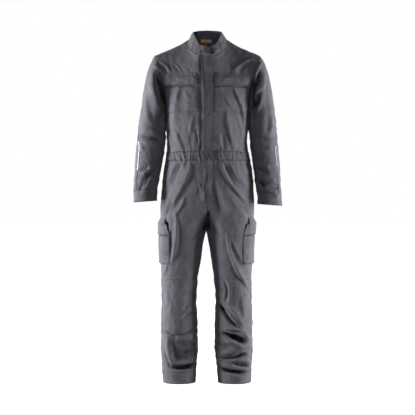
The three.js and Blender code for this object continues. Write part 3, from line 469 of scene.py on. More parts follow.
# Creases, seen from one side: a bowed line from one point to another, how wide the crease is to each
# side of it, how far it stands out (or, below 0, is drawn in), and its lean: above 0 it falls off
# steeply on the right of the line's way down and gently on the left, and below 0 the other way round.
# Across is x for the front and back, and y for the sides.
CREASES = {
    "front": (
        (-222, -100, -176, -152, 4, 6, -4, 0), (-238, -112, -196, -160, 4, 6, 4, 0),
        (-228, -128, -202, -164, 2, 5, -4, 0), (-206, -98, -160, -150, 4, 6, 3.5, 0.5),
        (-172, -112, -156, -150, 2, 4, -2.5, 0), (-150, -114, -118, -152, 3, 5, -3, 0.4),
        (-132, -116, -106, -148, 3, 4, -2.5, 0.4), (-140, -112, -112, -150, 2, 4, 2, 0.4),
        (-90, -128, -74, -152, 2, 5, -1.5, 0), (206, -80, 108, -150, -10, 10, 5, -0.6),
        (208, -104, 150, -148, -5, 8, 4, -0.6), (176, -112, 136, -152, -3, 6, -2.5, 0),
        (-121, -212, -146, -398, -5, 16, 6, 0.35), (-170, -222, -184, -320, -4, 8, 2.5, 0.5),
        (-96, -232, -70, -276, -4, 7, 2.5, 0.5), (-100, -330, -96, -372, 2, 4, -2, 0),
        (-150, -398, -112, -492, 6, 8, 4, 0.7), (-118, -380, -128, -470, -6, 6, 2.5, 0.6),
        (-60, -348, -80, -462, -4, 5, 3, 0.6), (-40, -352, -22, -446, -4, 4, 2.5, 0.4),
        (-88, -392, -74, -492, 4, 4, -3, 0), (-52, -402, -40, -492, 3, 4, -3, 0),
        (-30, -440, -46, -496, 2, 4, 3, 0.4), (-170, -430, -160, -496, 3, 6, 3, 0.5),
        (112, -226, 174, -432, 9, 9, 8.5, -0.8), (82, -338, 122, -505, -6, 8, 8, -0.8),
        (72, -250, 112, -326, -4, 8, 2.5, -0.6), (128, -342, 160, -470, 4, 6, 3.5, -0.6),
        (176, -262, 158, -330, 3, 5, 4, 0), (150, -378, 180, -486, 4, 6, 4, -0.5),
        (64, -420, 74, -498, 2, 5, -4, 0), (46, -428, 58, -498, 2, 5, 3.5, -0.4),
        (104, -440, 112, -498, 2, 5, -4, 0), (92, -300, 120, -336, -3, 6, -2.5, 0),
        (-66, -548, -192, -776, 13, 17, 7.5, 0.8), (-112, -548, -150, -652, -4, 6, -3.5, 0.5),
        (-134, -546, -172, -640, -4, 7, 4, 0.5), (-98, -696, -144, -776, 6, 7, 5, 0.6),
        (-138, -772, -160, -994, 12, 7, 7, 0.3), (-160, -830, -165, -980, 4, 5, -4, 0),
        (-150, -700, -196, -792, 6, 9, -5, 0), (52, -543, 172, -722, -13, 6, 7.5, -0.4),
        (72, -545, 122, -652, -5, 6, -5, 0), (96, -545, 150, -640, -5, 8, 5, -0.6),
        (34, -630, 88, -778, -9, 6, 7, -0.7), (40, -662, 56, -752, -4, 7, -4, 0),
        (118, -545, 176, -664, -6, 8, 3, -0.6), (170, -505, 194, -640, 5, 9, -6, 0),
        (100, -690, 168, -792, -8, 14, 2.5, -0.5), (150, -740, 186, -796, 4, 8, -3, 0),
        (86, -866, 180, -1100, -17, 8, 9, -0.7), (106, -880, 166, -992, -8, 6, 4, -0.6),
        (100, -900, 142, -992, -10, 5, -4, 0), (56, -800, 60, -1000, 6, 15, 2.5, -0.5),
        (-176, -990, -200, -1044, 4, 7, 5, 0.4), (8, -800, 20, -870, -3, 8, -5, 0),
        (-10, -806, -26, -870, 3, 8, -5, 0), (-6, -812, -74, -880, 8, 10, -3.5, 0.5),
        (8, -812, 78, -884, -8, 10, -3.5, -0.5), (-34, -640, -24, -694, 2, 4, 3, 0.3),
        (-14, -560, -18, -640, 2, 4, 2.5, 0.3), (8, -590, 12, -694, -2, 4, 2.5, -0.3),
        (-8, -676, -9, -702, 0, 3, -2.5, 0), (-26, -690, -20, -716, 0, 4, 2.5, 0),
        (-124, -1132, -96, -1108, 3, 6, -3.5, 0), (-104, -1188, -70, -1150, 4, 7, -3, 0.4),
        (-116, -1230, -50, -1200, 5, 8, -4, 0.4), (-104, -1206, -60, -1178, 4, 7, 2, 0),
        (-166, -1046, -128, -1040, 2, 5, -2, 0), (-180, -1104, -172, -1176, 3, 9, 3, 0.5),
        (-156, -1146, -166, -1226, 3, 6, 2, 0.5), (-90, -1020, -60, -1090, 5, 10, 2.5, 0.4),
        (-190, -1284, -134, -1314, 3, 4.5, -10, 0), (-150, -1302, -48, -1272, -6, 3.5, -8, 0),
        (-190, -1304, -124, -1324, 4, 7, 9, -0.6), (-176, -1312, -150, -1430, -4, 9, 8, 0.4),
        (-146, -1306, -132, -1436, -3, 28, -7, -0.85), (-96, -1312, -86, -1424, 0, 30, -5, 0),
        (-118, -1376, -50, -1366, -4, 8, -3.5, 0), (-140, -1328, -60, -1318, 4, 8, 5, -0.5),
        (-192, -1382, -166, -1446, 4, 6, -9, 0), (-170, -1424, -50, -1412, -6, 9, 8, -0.85),
        (-160, -1443, -58, -1434, -6, 6, -28, 0), (-60, -1436, -45, -1408, -3, 6, -8, 0),
        (76, -1064, 78, -1156, 9, 5, -7, 0), (66, -1092, 66, -1118, 1, 5, -5, 0),
        (88, -1070, 92, -1150, 8, 5, 4, 0), (134, -1268, 54, -1172, 5, 7, -13, 0),
        (70, -1194, 50, -1170, 0, 7, -12, 0), (82, -1160, 156, -1262, 4, 8, 7, -0.5),
        (150, -1130, 168, -1240, -5, 10, 3, -0.6), (178, -1180, 182, -1262, -4, 8, -2.5, 0),
        (66, -1291, 130, -1307, 0, 5, -18, 0), (92, -1303, 162, -1330, 2, 8, -30, 0),
        (62, -1274, 168, -1284, 4, 7, 6, -0.8), (72, -1312, 190, -1356, -9, 8, 9, 0.5),
        (158, -1290, 184, -1330, 4, 8, 5, -0.5), (50, -1402, 168, -1376, -13, 5, -14, -0.3),
        (60, -1380, 150, -1362, -6, 10, 7, -0.5), (52, -1340, 100, -1356, -3, 9, -5, 0),
        (140, -1372, 182, -1394, 8, 9, 6, 0), (112, -1412, 192, -1424, 4, 7, 8, -0.5),
        (110, -1426, 194, -1442, -3, 4.5, -17, 0), (56, -1450, 164, -1465, -5, 6, -26, 0),
        (58, -1430, 120, -1440, -3, 7, 7, -0.6), (-238, -150, -200, -360, -8, 12, 13, 0.85),
        (-254, -176, -226, -246, -4, 6, 5, 0.5), (-222, -160, -187, -318, 8, 7.5, -22, 0),
        (-214, -322, -208, -386, 2, 10, -5, 0), (-270, -240, -250, -380, -6, 12, 4, 0.4),
        (-296, -430, -200, -450, 6, 8, -9, 0.4), (-288, -404, -212, -418, 5, 10, 6, -0.6),
        (-292, -468, -256, -528, -6, 9, 7, 0.5), (-246, -476, -214, -520, -4, 9, -4, 0),
        (-236, -570, -292, -602, 4, 8, 7, 0.4), (-214, -562, -298, -672, -12, 8, -10, 0),
        (-296, -576, -258, -572, 2, 5, -6, 0), (-266, -608, -294, -650, 3, 8, 8, 0.5),
        (-224, -640, -238, -668, 2, 7, 4, 0), (238, -98, 212, -168, -3, 5, 7, 0),
        (252, -128, 243, -218, 4, 5, 6, 0), (243, -216, 202, -266, -7, 5, 7, 0.4),
        (241, -240, 212, -334, 4, 5, 8, 0.3), (229, -140, 206, -216, 3, 7, -16, 0),
        (226, -246, 204, -304, 2, 8, -16, 0), (201, -190, 191, -316, 2, 7, -22, 0),
        (256, -160, 263, -420, 2, 9, -3, 0), (280, -330, 276, -420, 4, 10, 4, -0.5),
        (204, -432, 262, -444, 5, 7, -4, 0.4), (212, -406, 270, -418, 5, 8, 3, -0.5),
        (214, -472, 264, -492, 4, 7, -3, 0), (276, -462, 302, -560, -8, 10, 3, -0.4),
        (206, -568, 264, -594, 3, 7, -8, 0), (214, -548, 272, -570, 3, 8, 5, -0.5),
        (204, -602, 258, -650, -7, 8, -12, 0), (258, -650, 318, -655, -3, 6, -8, 0),
        (258, -636, 316, -642, 5, 5, 7, -0.4), (282, -672, 312, -700, 2, 8, 4, 0),
    ),
    "back": (
        (-168, -112, -92, -176, 10, 9, 4, 0.5), (142, -122, 72, -214, -14, 12, 5.5, -0.5),
        (-186, -196, -132, -268, 9, 10, 5, 0.3), (196, -172, 128, -330, -14, 11, 6.5, -0.7),
        (172, -236, 140, -318, -6, 7, -4, 0), (-52, -262, -104, -388, 12, 11, 6.5, 0),
        (74, -246, 126, -372, -11, 13, 7.5, 0.6), (-30, -318, -46, -436, -4, 8, 4, -0.5),
        (30, -330, 12, -466, 6, 8, 5, 0.3), (-160, -372, -118, -470, -7, 11, 6, -0.7),
        (168, -340, 108, -452, 9, 9, 6.5, 0), (-120, -300, -150, -352, 4, 7, -3.5, 0),
        (60, -410, 74, -486, 3, 6, -4, 0), (-86, -430, -72, -490, 3, 5, 4, 0.4),
        (130, -440, 150, -492, 3, 6, 4, -0.4), (-12, -450, -6, -492, 1, 5, 3.5, 0),
        (-30, -546, -142, -742, 17, 12, 8, 0.6), (52, -549, 128, -700, -13, 14, 8.5, -0.5),
        (-116, -548, -186, -664, 8, 9, 5, 0.3), (112, -560, 184, -700, -9, 9, 6.5, -0.7),
        (-70, -546, -92, -606, 3, 6, -4, 0), (84, -545, 104, -596, 3, 6, -4, 0),
        (-10, -640, -52, -768, 7, 12, 5.5, 0), (18, -610, 60, -772, -9, 10, 6.5, 0.6),
        (146, -556, 166, -610, 2, 6, 3.5, 0), (-4, -796, -104, -912, 11, 8, -8.8, -0.5),
        (10, -806, 88, -884, -9, 10, -10, 0.3), (-24, -838, -132, -948, 11, 9, 6.5, -0.7),
        (20, -862, 106, -984, -12, 9, 8, 0), (-72, -946, -140, -1030, 9, 11, 5, 0.6),
        (66, -990, 168, -1064, -11, 10, 6.5, -0.5), (-62, -1068, -172, -1142, 11, 9, 5.9, 0.3),
        (58, -1106, 150, -1134, -9, 10, 7, -0.7), (-56, -1158, -176, -1182, 9, 8, -8, 0),
        (62, -1150, 178, -1190, 9, 7, -10, 0.6), (-70, -1202, -150, -1216, -7, 10, 6.5, -0.5),
        (60, -1212, 140, -1246, 9, 9, 8, 0.3), (-64, -1262, -118, -1340, 8, 8, 5.5, -0.7),
        (84, -1262, 156, -1330, -9, 10, 6.5, 0), (-158, -1322, -74, -1376, 8, 8, 5.9, 0.6),
        (168, -1356, 72, -1384, -8, 7, 7.3, -0.5), (-120, -1392, -176, -1416, 4, 6, -5, 0),
        (-166, -1426, -58, -1440, 7, 7, -9, 0.3), (60, -1414, 166, -1446, 9, 6.5, -10, -0.7),
        (-146, -1456, -76, -1478, 6, 5, 5, 0), (88, -1462, 168, -1470, -5, 6, 6, 0.6),
        (-262, -140, -232, -236, 5, 8, 5, -0.5), (248, -150, 228, -262, -5, 9, 5, 0.5),
        (-290, -376, -210, -412, 8, 8.6, 6.6, -0.5), (-300, -428, -212, -452, 7, 7, -9, 0.3),
        (-302, -486, -236, -522, 8, 9, 5.5, -0.7), (-312, -566, -250, -590, 8, 8, 6, 0),
        (-318, -620, -262, -650, 5, 7, -5, 0), (210, -392, 300, -420, 9, 8, 6.6, 0.6),
        (212, -448, 296, -446, 7, 9, -8.5, -0.5), (228, -476, 312, -540, -8, 8.6, 5.9, 0.3),
        (240, -574, 310, -598, 8, 7, 6.5, -0.7), (256, -628, 320, -640, 5, 6, -5, 0),
    ),
    "right": (
        (-56, -212, 14, -262, 6, 9, 6, -0.5), (34, -286, -30, -330, 6, 9, 5, 0.4),
        (-50, -350, 50, -390, 8, 9, 5, -0.5), (-66, -410, 34, -428, 8, 7, -7, 0),
        (-50, -470, 40, -440, 8, 7.6, -6, 0.3), (-60, -540, 20, -580, 6, 9.5, 5, -0.7),
        (-66, -612, 8, -636, 5, 7, 6, 0.5), (-80, -556, -44, -700, 6, 11, 7, 0.5),
        (76, -560, 48, -724, -6, 12, 7, -0.5), (-60, -640, 60, -760, 10, 12, 5, 0.6),
        (40, -1010, -40, -1110, 8, 8.9, 7, -0.5), (-54, -1128, 62, -1146, 8, 9, 6, 0.4),
        (-60, -1190, 50, -1160, 8, 10.3, -7, 0.3), (-60, -1250, 40, -1290, 8, 9, 7, -0.7),
        (-72, -1304, 46, -1334, 9, 8, -7, 0), (50, -1338, -50, -1380, 8, 7.6, 7, 0),
        (-60, -1432, 56, -1420, 6, 7.8, -8, 0.6), (-56, -1464, 44, -1474, 5, 6, 6, 0),
    ),
    "left": (
        (-60, -196, 20, -240, 6, 8, 6, -0.5), (40, -270, -24, -322, 6, 10, 5, 0.4),
        (-50, -345, 50, -385, 8, 9, 5, -0.5), (-64, -404, 40, -420, 6, 8, -7, 0),
        (-50, -466, 40, -446, 8, 7.6, -6, 0.3), (-60, -536, 20, -585, 6, 9.5, 5, -0.7),
        (-70, -600, 6, -640, 7, 7, 6, 0.5), (-76, -556, -50, -676, 5, 10, 7, 0.5),
        (70, -556, 40, -744, -8, 12, 7, -0.5), (-60, -650, 60, -770, 10, 12, 5, 0.6),
        (44, -1015, -40, -1120, 8, 8.9, 7, -0.5), (-60, -1138, 56, -1132, 6, 8, 6, 0.4),
        (-60, -1180, 50, -1165, 8, 10.3, -7, 0.3), (-60, -1240, 40, -1285, 8, 9, 7, -0.7),
        (-66, -1310, 52, -1322, 7, 9, -7, 0), (50, -1344, -50, -1392, 8, 7.6, 7, 0),
        (-60, -1436, 56, -1424, 6, 7.8, -8, 0.6), (-50, -1458, 52, -1470, 4, 6, 6, 0),
    ),
}
# The creases of the side views stand out by this share, so that the outline stays smooth.
SIDE_SHARE = 0.24

# Each view's axis of looking and its direction
VIEW_WAY = {"front": (1, -1), "back": (1, 1), "right": (0, -1), "left": (0, 1)}

# A crease's lean widens one side and narrows the other by this share. Beside its ridge the cloth dips:
# how far away, in widths, and by what share of its height.
LEAN_SHARE = 0.55
DIP_AWAY = 2.1
DIP_SHARE = 0.15


def beside_line(across, z, a1, z1, a2, z2, bow=0):
    """Each point's share of the way along a bowed line, how far aside of it, and the line's length."""
    length = math.hypot(a2 - a1, z2 - z1)
    da, dz = (a2 - a1) / length, (z2 - z1) / length
    t = ((across - a1) * da + (z - z1) * dz) / length
    return t, (z - z1) * da - (across - a1) * dz - bow * 4 * t * (1 - t), length


def crease_points(points, normals, least_wide=0.0, crest=1.25):
    """How far the creases move each point along its normal. A lower crest power is a sharper crest."""
    total = np.zeros(len(points))
    z = points[:, 2]
    for view, rows in CREASES.items():
        axis, way = VIEW_WAY[view]
        share = SIDE_SHARE if axis == 0 else 1
        facing = clamp01(normals[:, axis] * way * 1.35) ** 1.5
        across = points[:, 1 - axis]
        for a1, z1, a2, z2, bow, wide, out, lean in rows:
            wide = max(wide, least_wide)
            reach = 6 * wide + abs(bow)
            beside = (across > min(a1, a2) - reach) & (across < max(a1, a2) + reach)
            level = (z > min(z1, z2) - reach) & (z < max(z1, z2) + reach)
            ids = np.nonzero(beside & level & (facing > 0))[0]
            t, aside, _ = beside_line(across[ids], z[ids], a1, z1, a2, z2, bow)
            ends = smooth((t + 0.14) / 0.42) * smooth((1.14 - t) / 0.42)
            leaning = 1 - LEAN_SHARE * lean * np.where(aside > 0, 1, -1)
            spread = wide * (0.75 + 0.5 * clamp01(t)) * leaning
            ridge = np.exp(-(np.abs(aside / spread) ** crest))
            dip = DIP_SHARE * near(np.abs(aside), DIP_AWAY * spread, spread)
            total[ids] += share * out * facing[ids] * ends * (ridge - dip)
    return total


# Large odd numbers that mix a cell's place and the seed into an even spread of values
HASH_STEPS = (374761393, 668265263, 1274126177)
HASH_SEED = 144665
HASH_BITS = 0xFFFFFFFF


def noise(points, seed):
    """Smooth noise from -1 to 1, about one bump to a unit."""
    cell = np.floor(points).astype(np.int64)
    f = points - cell
    f = f * f * (3 - 2 * f)
    total = np.zeros(len(points))
    for corner in itertools.product((0, 1), repeat=3):
        h = ((cell + corner) * HASH_STEPS).sum(axis=1)
        h = (h + seed * HASH_SEED) & HASH_BITS
        h = ((h ^ (h >> 13)) * HASH_STEPS[2]) & HASH_BITS
        value = ((h ^ (h >> 16)) & 0xFFFF) / 32767.5 - 1
        wx, wy, wz = np.where(corner, f, 1 - f).T
        total += value * wx * wy * wz
    return total


def grid_noise(grid, scale, seed):
    return noise(grid.reshape(-1, 3) / scale, seed).reshape(grid.shape[:2])


def crumple(grid, scale, seed, squash=(1, 1, 1)):
    """Noise in two sizes, over a grid."""
    points = grid / scale * np.array(squash)
    return (grid_noise(points, 1, seed) + 0.5 * grid_noise(points * 2.1, 1, seed + 1)) / 1.5


# The casing's elastic draws the cloth into uneven gathers, which die out above and below it.
GATHER_DEPTH = 2.1
FOLD_DEPTH = 4.2
FOLD_REACH = 75

# The waist's mean radius, how long each kind of gather is around it, and the body's half width
WAIST_REACH = 160
GATHER_LONG = 15
PUCKER_LONG = 8
FOLD_LONG = 27
BODY_HALF = 205


def off_casing(points):
    """From 0 on the waist casing, which takes no creases, to 1 away from it."""
    middle = (WAIST_TOP_Z + WAIST_LOW_Z) / 2
    return smooth((np.abs(points[:, 2] - middle) - 20) / 30)


def beyond_casing(z):
    return np.maximum(0, np.maximum(z - WAIST_TOP_Z, WAIST_LOW_Z - z))


def gather_points(points):
    """How far the elastic's gathers, and the folds that run on from them, move each point."""
    x, y, z = points.T
    around = np.arctan2(x, y) * WAIST_REACH
    away = beyond_casing(z)
    flat = np.zeros_like(z)
    wander = noise(np.stack([around / 34, z / 70, flat], axis=1), 3)
    uneven = 0.65 + 0.75 * noise(np.stack([around / 21, z / 90, flat], axis=1), 5)
    fine = np.cos(around * 2 * math.pi / GATHER_LONG + wander * 9) * (1 - smooth(away / 16))
    fine = fine + 0.5 * np.cos(around * 2 * math.pi / PUCKER_LONG - wander * 7) * (1 - smooth(away / 8))
    folds = np.cos(around * 2 * math.pi / FOLD_LONG + wander * 4 + 1)
    reach = FOLD_REACH * (0.55 + 0.45 * noise(np.stack([around / FOLD_LONG, flat, flat], axis=1), 7))
    folds = (0.5 + 0.5 * folds) ** 1.6 * smooth(away / 14) * (1 - smooth(away / np.maximum(reach, 12)))
    on_body = (np.abs(x) < BODY_HALF) & (z > -660) & (z < -390)
    return np.where(on_body, GATHER_DEPTH * uneven * fine - FOLD_DEPTH * uneven * folds, 0)


# The coarse skin takes a share of each crease, and the fine panels take the rest with its sharp crest.
COARSE_SHARE = 0.2
COARSE_WIDE = 11
COARSE_CREST = 1.8

base = skin.points.copy()
normals = skin.normals(base)
moved = COARSE_SHARE * crease_points(base, normals, COARSE_WIDE, COARSE_CREST) * off_casing(base)
creased = base + normals * moved[:, None]


# Settling: the cloth is given a little more length than the form, so that it buckles where the
# creases lead it. Each round mends the lengths, evens the bending and draws the cloth to the form.
ROUNDS = 260
STRETCH_SHARE = 1.5
BEND_SHARE = 0.16
HOLD_SHARE = 0.012
SAG = 0.004
FURTHEST = 11
FURTHEST_AT_SIDES = 1.2


def edges_of(quads):
    """Every side and diagonal of the quads, once each."""
    pairs = [quads[:, [a, b]] for a, b in ((0, 1), (1, 2), (2, 3), (3, 0), (0, 2), (1, 3))]
    return np.unique(np.sort(np.concatenate(pairs), axis=1), axis=0)


def firmness(points):
    """How firmly each point is held to its place: 1 at the neck, shoulders, waist, cuffs and hems."""
    x, y, z = points.T
    on_body = np.abs(x) < BODY_HALF
    firm = (1 - smooth((beyond_casing(z) - 4) / 30)) * on_body
    firm = np.maximum(firm, smooth((HEM_Z + 26 - z) / 14))
    firm = np.maximum(firm, np.where(np.abs(x) > BODY_HALF, smooth((CUFF_Z + 6 - z) / 14), 0))
    return np.maximum(firm, smooth((z + 70 + 0.22 * np.abs(x)) / 50))


# How much longer than the form the cloth is everywhere, and, at some heights, each with its reach, how
# much more of it bunches: around it, down the body and legs, and down the sleeves
SPARE = (
    (0.012, (-420, 60, 0.02), (-600, 60, 0.02), (-1250, 120, 0.012)),
    (0.006, (-455, 40, 0.03), (-860, 80, 0.022), (-1230, 90, 0.035), (-1420, 60, 0.05)),
    (0.01, (-430, 60, 0.06), (-600, 60, 0.035), (-300, 50, 0.02)),
)


def spare(points, upright):
    """How much longer than the form the cloth is, along it (upright 1) or around it (upright 0)."""
    x, y, z = points.T
    on_sleeve = (np.abs(x) > 196) & (z > -740)
    around, body, arm = [
        least + sum(more * near(z, height, reach) for height, reach, more in bunches)
        for least, *bunches in SPARE
    ]
    return mix(around, np.where(on_sleeve, arm, body), upright)


def settle(form, creased, quads):
    pairs = edges_of(quads)
    a, b = pairs.T
    count = len(form)
    degree = np.bincount(a, minlength=count) + np.bincount(b, minlength=count)
    steps = creased[b] - creased[a]
    length = np.linalg.norm(steps, axis=1)
    upright = (steps[:, 2] / length) ** 2
    rest = length * (1 + spare((form[a] + form[b]) / 2, upright))
    loose = 1 - firmness(form)[:, None]

    def gathered(values):
        """The sum over each point's edges of the edge's value, taken away at its far end."""
        sums = [np.bincount(a, v, count) - np.bincount(b, v, count) for v in values.T]
        return np.stack(sums, axis=1) / degree[:, None]

    bent = gathered(steps)
    sideways = smooth((np.abs(skin.normals(form)[:, :1]) - 0.6) / 0.3)
    furthest = mix(FURTHEST, FURTHEST_AT_SIDES, sideways)
    points = creased.copy()
    for _ in range(ROUNDS):
        steps = points[b] - points[a]
        length = np.linalg.norm(steps, axis=1)
        mend = steps * ((1 - rest / length) / 2)[:, None]
        move = STRETCH_SHARE * gathered(mend)
        move += BEND_SHARE * (gathered(steps) - bent)
        move += HOLD_SHARE * (creased - points)
        move[:, 2] -= SAG
        points = points + move * loose
        away = points - creased
        far = np.linalg.norm(away, axis=1, keepdims=True)
        points = creased + away * np.minimum(1, furthest / np.maximum(far, 1e-9))
    return points


# Where each sleeve lies against the body: between which heights, at what x, and how far it sinks in
TOUCH = dict(high=-270, low=-425, x=186, overlap=1.2)


def close_armpits(points):
    """Lets the inner sides of the sleeves lie against the body, as they do below the armpits."""
    x, y, z = points.T
    side = np.sign(x)
    share = smooth((TOUCH["high"] - z) / 40) * smooth((z - TOUCH["low"]) / 40)
    arm = np.zeros(len(points), bool)
    for name, ids in skin.grids.items():
        if name.startswith("sleeve"):
            arm[ids.ravel()] = True
    reach = np.abs(x)
    close = near(y, 0, 60) * share
    goal = np.where(arm, np.minimum(reach, TOUCH["x"] - TOUCH["overlap"]), np.maximum(reach, TOUCH["x"]))
    by_seam = np.where(arm, reach < 200, reach > 172)
    moved = points.copy()
    moved[:, 0] = side * mix(reach, goal, close * by_seam)
    return moved


settled = creased + normals * (0.6 * noise(base / 24, 11))[:, None]
settled = settle(base, settled, skin.quads())
settled = close_armpits(settled)


# Panels: fine grids read from the settled skin, with close rows and columns beside their edges
FINE_STEP = 4.5
EDGE_ROWS = (0, 0.9, 2.0, 3.2, 5.6, 7.4, 8.6, 10.5, 14.5)


def cubic(count, places):
    """Weights that read a smooth curve through evenly numbered points at fractional places."""
    weights = np.zeros((len(places), count))
    for k, place in enumerate(places):
        i = min(max(int(place), 0), count - 2)
        t = place - i
        shares = (
            (-t + 2 * t * t - t**3) / 2,
            (2 - 5 * t * t + 3 * t**3) / 2,
            (t + 4 * t * t - 3 * t**3) / 2,
            (-t * t + t**3) / 2,
        )
        for offset, share in zip((-1, 0, 1, 2), shares):
            j = i + offset
            if j < 0:
                weights[k, 0] += 2 * share
                weights[k, 1] -= share
            elif j > count - 1:
                weights[k, count - 1] += 2 * share
                weights[k, count - 2] -= share
            else:
                weights[k, j] += share
    return weights


def read(grid, rows, columns):
    """The grid's surface at fractional rows and columns."""
    down = cubic(grid.shape[0], rows)
    across = cubic(grid.shape[1], columns)
    return np.einsum("ri,ijk,cj->rck", down, grid, across, optimize=True)


def graded(first, last, length, step=FINE_STEP, edges=EDGE_ROWS):
    """Fractional places between two, close together beside both, for a stretch of that length."""
    edges = [e for e in edges if e < length / 2 - step / 2]
    inner = max(1, round((length - 2 * edges[-1]) / step))
    places = edges + [mix(edges[-1], length - edges[-1], (k + 1) / inner) for k in range(inner - 1)]
    places += [length - e for e in reversed(edges)]
    return mix(first, last, np.array(places) / length)


def edge_distances(grid):
    """How far each point lies from the left, right, first and last edge, along the grid."""
    across = np.linalg.norm(np.diff(grid, axis=1), axis=2)
    down = np.linalg.norm(np.diff(grid, axis=0), axis=2)
    left = np.concatenate([np.zeros((grid.shape[0], 1)), np.cumsum(across, axis=1)], axis=1)
    first = np.concatenate([np.zeros((1, grid.shape[1])), np.cumsum(down, axis=0)])
    return left, left[:, -1:] - left, first, first[-1:] - first


MATERIALS = {}


def add_piece(name, points, faces, material, replaces=(), slot=None, smooth_shading=True, hollow=None):
    label = "cloth_" + name if slot == "cloth" else name
    mesh = bpy.data.meshes.new(label)
    mesh.from_pydata((np.asarray(points) * MM).tolist(), [], faces)
    # Each point's painted shade, by which the cloth's material darkens its colour, once for each wall
    if hollow is not None:
        layer = mesh.attributes.new("hollow", "FLOAT", "POINT")
        layer.data.foreach_set("value", np.tile(hollow.ravel(), 2).astype(np.float32))
    mesh.validate()
    if smooth_shading:
        mesh.shade_smooth()
    piece = bpy.data.objects.new(label, mesh)
    bpy.context.scene.collection.objects.link(piece)
    mesh.materials.append(MATERIALS[material])
    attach(piece, "root")
    if replaces:
        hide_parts(*replaces)


def shell_faces(rows, columns, turned):
    """Faces of a closed wall: an outer grid, an inner grid and the rim between them."""
    ids = np.arange(rows * columns).reshape(rows, columns)
    inner = ids + rows * columns
    rim = np.concatenate([ids[0], ids[1:, -1], ids[-1, -2::-1], ids[-2:0:-1, 0]])
    after = np.roll(rim, -1)
    side = np.stack([after, rim, rim + rows * columns, after + rows * columns], axis=-1)
    if turned:
        side = side[:, ::-1]
    return np.concatenate([grid_quads(ids, turned), grid_quads(inner, not turned), side]).tolist()


def add_shell(name, grid, turned, thick, material="cloth", **more):
    """A closed wall whose outside is the grid."""
    inner = grid - grid_normals(grid) * (-1 if turned else 1) * thick
    points = np.concatenate([grid.reshape(-1, 3), inner.reshape(-1, 3)])
    add_piece(name, points, shell_faces(*grid.shape[:2], turned), material, **more)


def seam_relief(distance, seed, grid, raised):
    """A seam: a groove, on one side the allowance folded under with two lines of stitching, and puckers."""
    total = 0.55 * grid_noise(grid, 7.5, seed) * near(distance, 0, 8) - 0.9 * near(distance, 0, 1.3)
    if raised:
        total += 0.7 * smooth(distance / 1.6) * smooth((9.5 - distance) / 1.8)
        total -= 0.35 * (near(distance, 2, 0.9) + near(distance, 8, 0.9))
    return total


def fine_creases(grid, normals):
    """The sharp crests, gathers and small wrinkles, which the settled grid is too coarse to carry."""
    points = grid.reshape(-1, 3)
    total = crease_points(points, normals.reshape(-1, 3)) * off_casing(points) + gather_points(points)
    total += noise(points / (17, 17, 24), 12) + 0.6 * noise(points / 8.5, 13)
    return total.reshape(grid.shape[:2])


# Lines of stitching: the paths that they follow, each with its outward normals
STITCHES = []

# How far they lie from seams and from the collar's edges, and the depth of their grooves
SEAM_LINES = (2, 8)
COLLAR_LINES = (2.5, 7)
STITCH_GROOVE = 0.4

SEAM_SEED = 20


def stitch(surface, normals, ways, edges, lines):
    """Notes lines of stitching at some distances from some edges of a grid."""
    both = np.concatenate([surface, normals], axis=2)
    for k, edge in enumerate(EDGES):
        if edge not in edges:
            continue
        rows, away = (both, ways[k]) if k < 2 else (both.swapaxes(0, 1), ways[k].T)
        if k % 2:
            rows, away = rows[:, ::-1], away[:, ::-1]
        for line in lines:
            path = [[np.interp(line, away[r], rows[r, :, c]) for c in range(6)] for r in range(len(rows))]
            STITCHES.append(np.array(path))


# How far up the hem's stitching lies, and the extra rows of the grid beside it
HEM_WIDE = 50
HEM_ROWS = (45.5, 47.2, 48.2, 49.2, 50.4, 51.6, 53.2)

# Grooves in the panels, beside the placket's free edge and the chest pockets and under the cargo flaps'
# front corners: a line from one point to another, seen from the front, how wide it is to each side and
# how deep. The deeper grooves also take painted shade in the cloth's colour.
GAPS = {
    "upper_front_right": (
        (-29.5, -60, -29.5, -545, 2.2, 7),
        (-30, -62, -30, -150, 4, 7),
        (-42, -205, -42, -329, 2, 6),
        (-41, -329, -160, -330, 2, 6),
    ),
    "upper_front_left": (
        (32, -150, 32, -330, 2, 6),
        (31, -330, 160, -331, 2, 6),
    ),
    "leg_front_right": ((-181, -800, -181, -858, 8, 14), (4, -756, -6, -852, 8, 20)),
    "leg_front_left": ((170, -812, 180, -872, 5, 12), (4, -756, -6, -852, 8, 20)),
}


def gap_relief(name, grid):
    total = np.zeros(grid.shape[:2])
    for *line, wide, deep in GAPS.get(name, ()):
        t, aside, length = beside_line(grid[..., 0], grid[..., 2], *line)
        ends = smooth(t * length / 12) * smooth((1 - t) * length / 12)
        total -= deep * ends * near(aside, 0, wide)
    return total


def hem_relief(distance, grid):
    """A hem: the end folded up inside, with a line of stitching and slight puckers along it."""
    band = 1.3 * (1 - smooth((distance - HEM_WIDE) / 1.8)) - 0.6 * near(distance, HEM_WIDE - 2, 1.1)
    drag = 0.55 * grid_noise(grid, (26, 26, 4.5), 33) * (distance < HEM_WIDE)
    return band + drag + 0.7 * grid_noise(grid, 7, 34) * near(distance, HEM_WIDE, 7)


# Painted shade darkens the cloth's colour where it is drawn in deeper than this, over this much more depth,
# and along seams
HOLLOW_FROM = 3
HOLLOW_REACH = 9
SEAM_SHADE = 0.4

# Painted shade where folds of the sleeves and the body close on each other at the armholes, seen from the
# front: a line from one point to another, its bow, how wide the shade is to each side, and how dark it is
# painted
ARMHOLE_PAINTED_SHADE = (
    (-226, -144, -181, -390, 15, 6.5, 1.0),
    (211, -146, 173, -390, -12, 6, 1.0),
)


def hollow_of(relief, points, normals):
    """How much painted shade darkens each point, from 0 to 1: where it is drawn in, and where folds close.
    """
    hollow = smooth((-relief - HOLLOW_FROM) / HOLLOW_REACH)
    in_front = smooth((0.25 - normals[..., 1]) / 0.3)
    for *line, bow, wide, dark in ARMHOLE_PAINTED_SHADE:
        t, aside, _ = beside_line(points[..., 0], points[..., 2], *line, bow)
        ends = smooth(t / 0.2) * smooth((1 - t) / 0.15)
        hollow = np.maximum(hollow, dark * in_front * ends * near(aside, 0, wide))
    return hollow


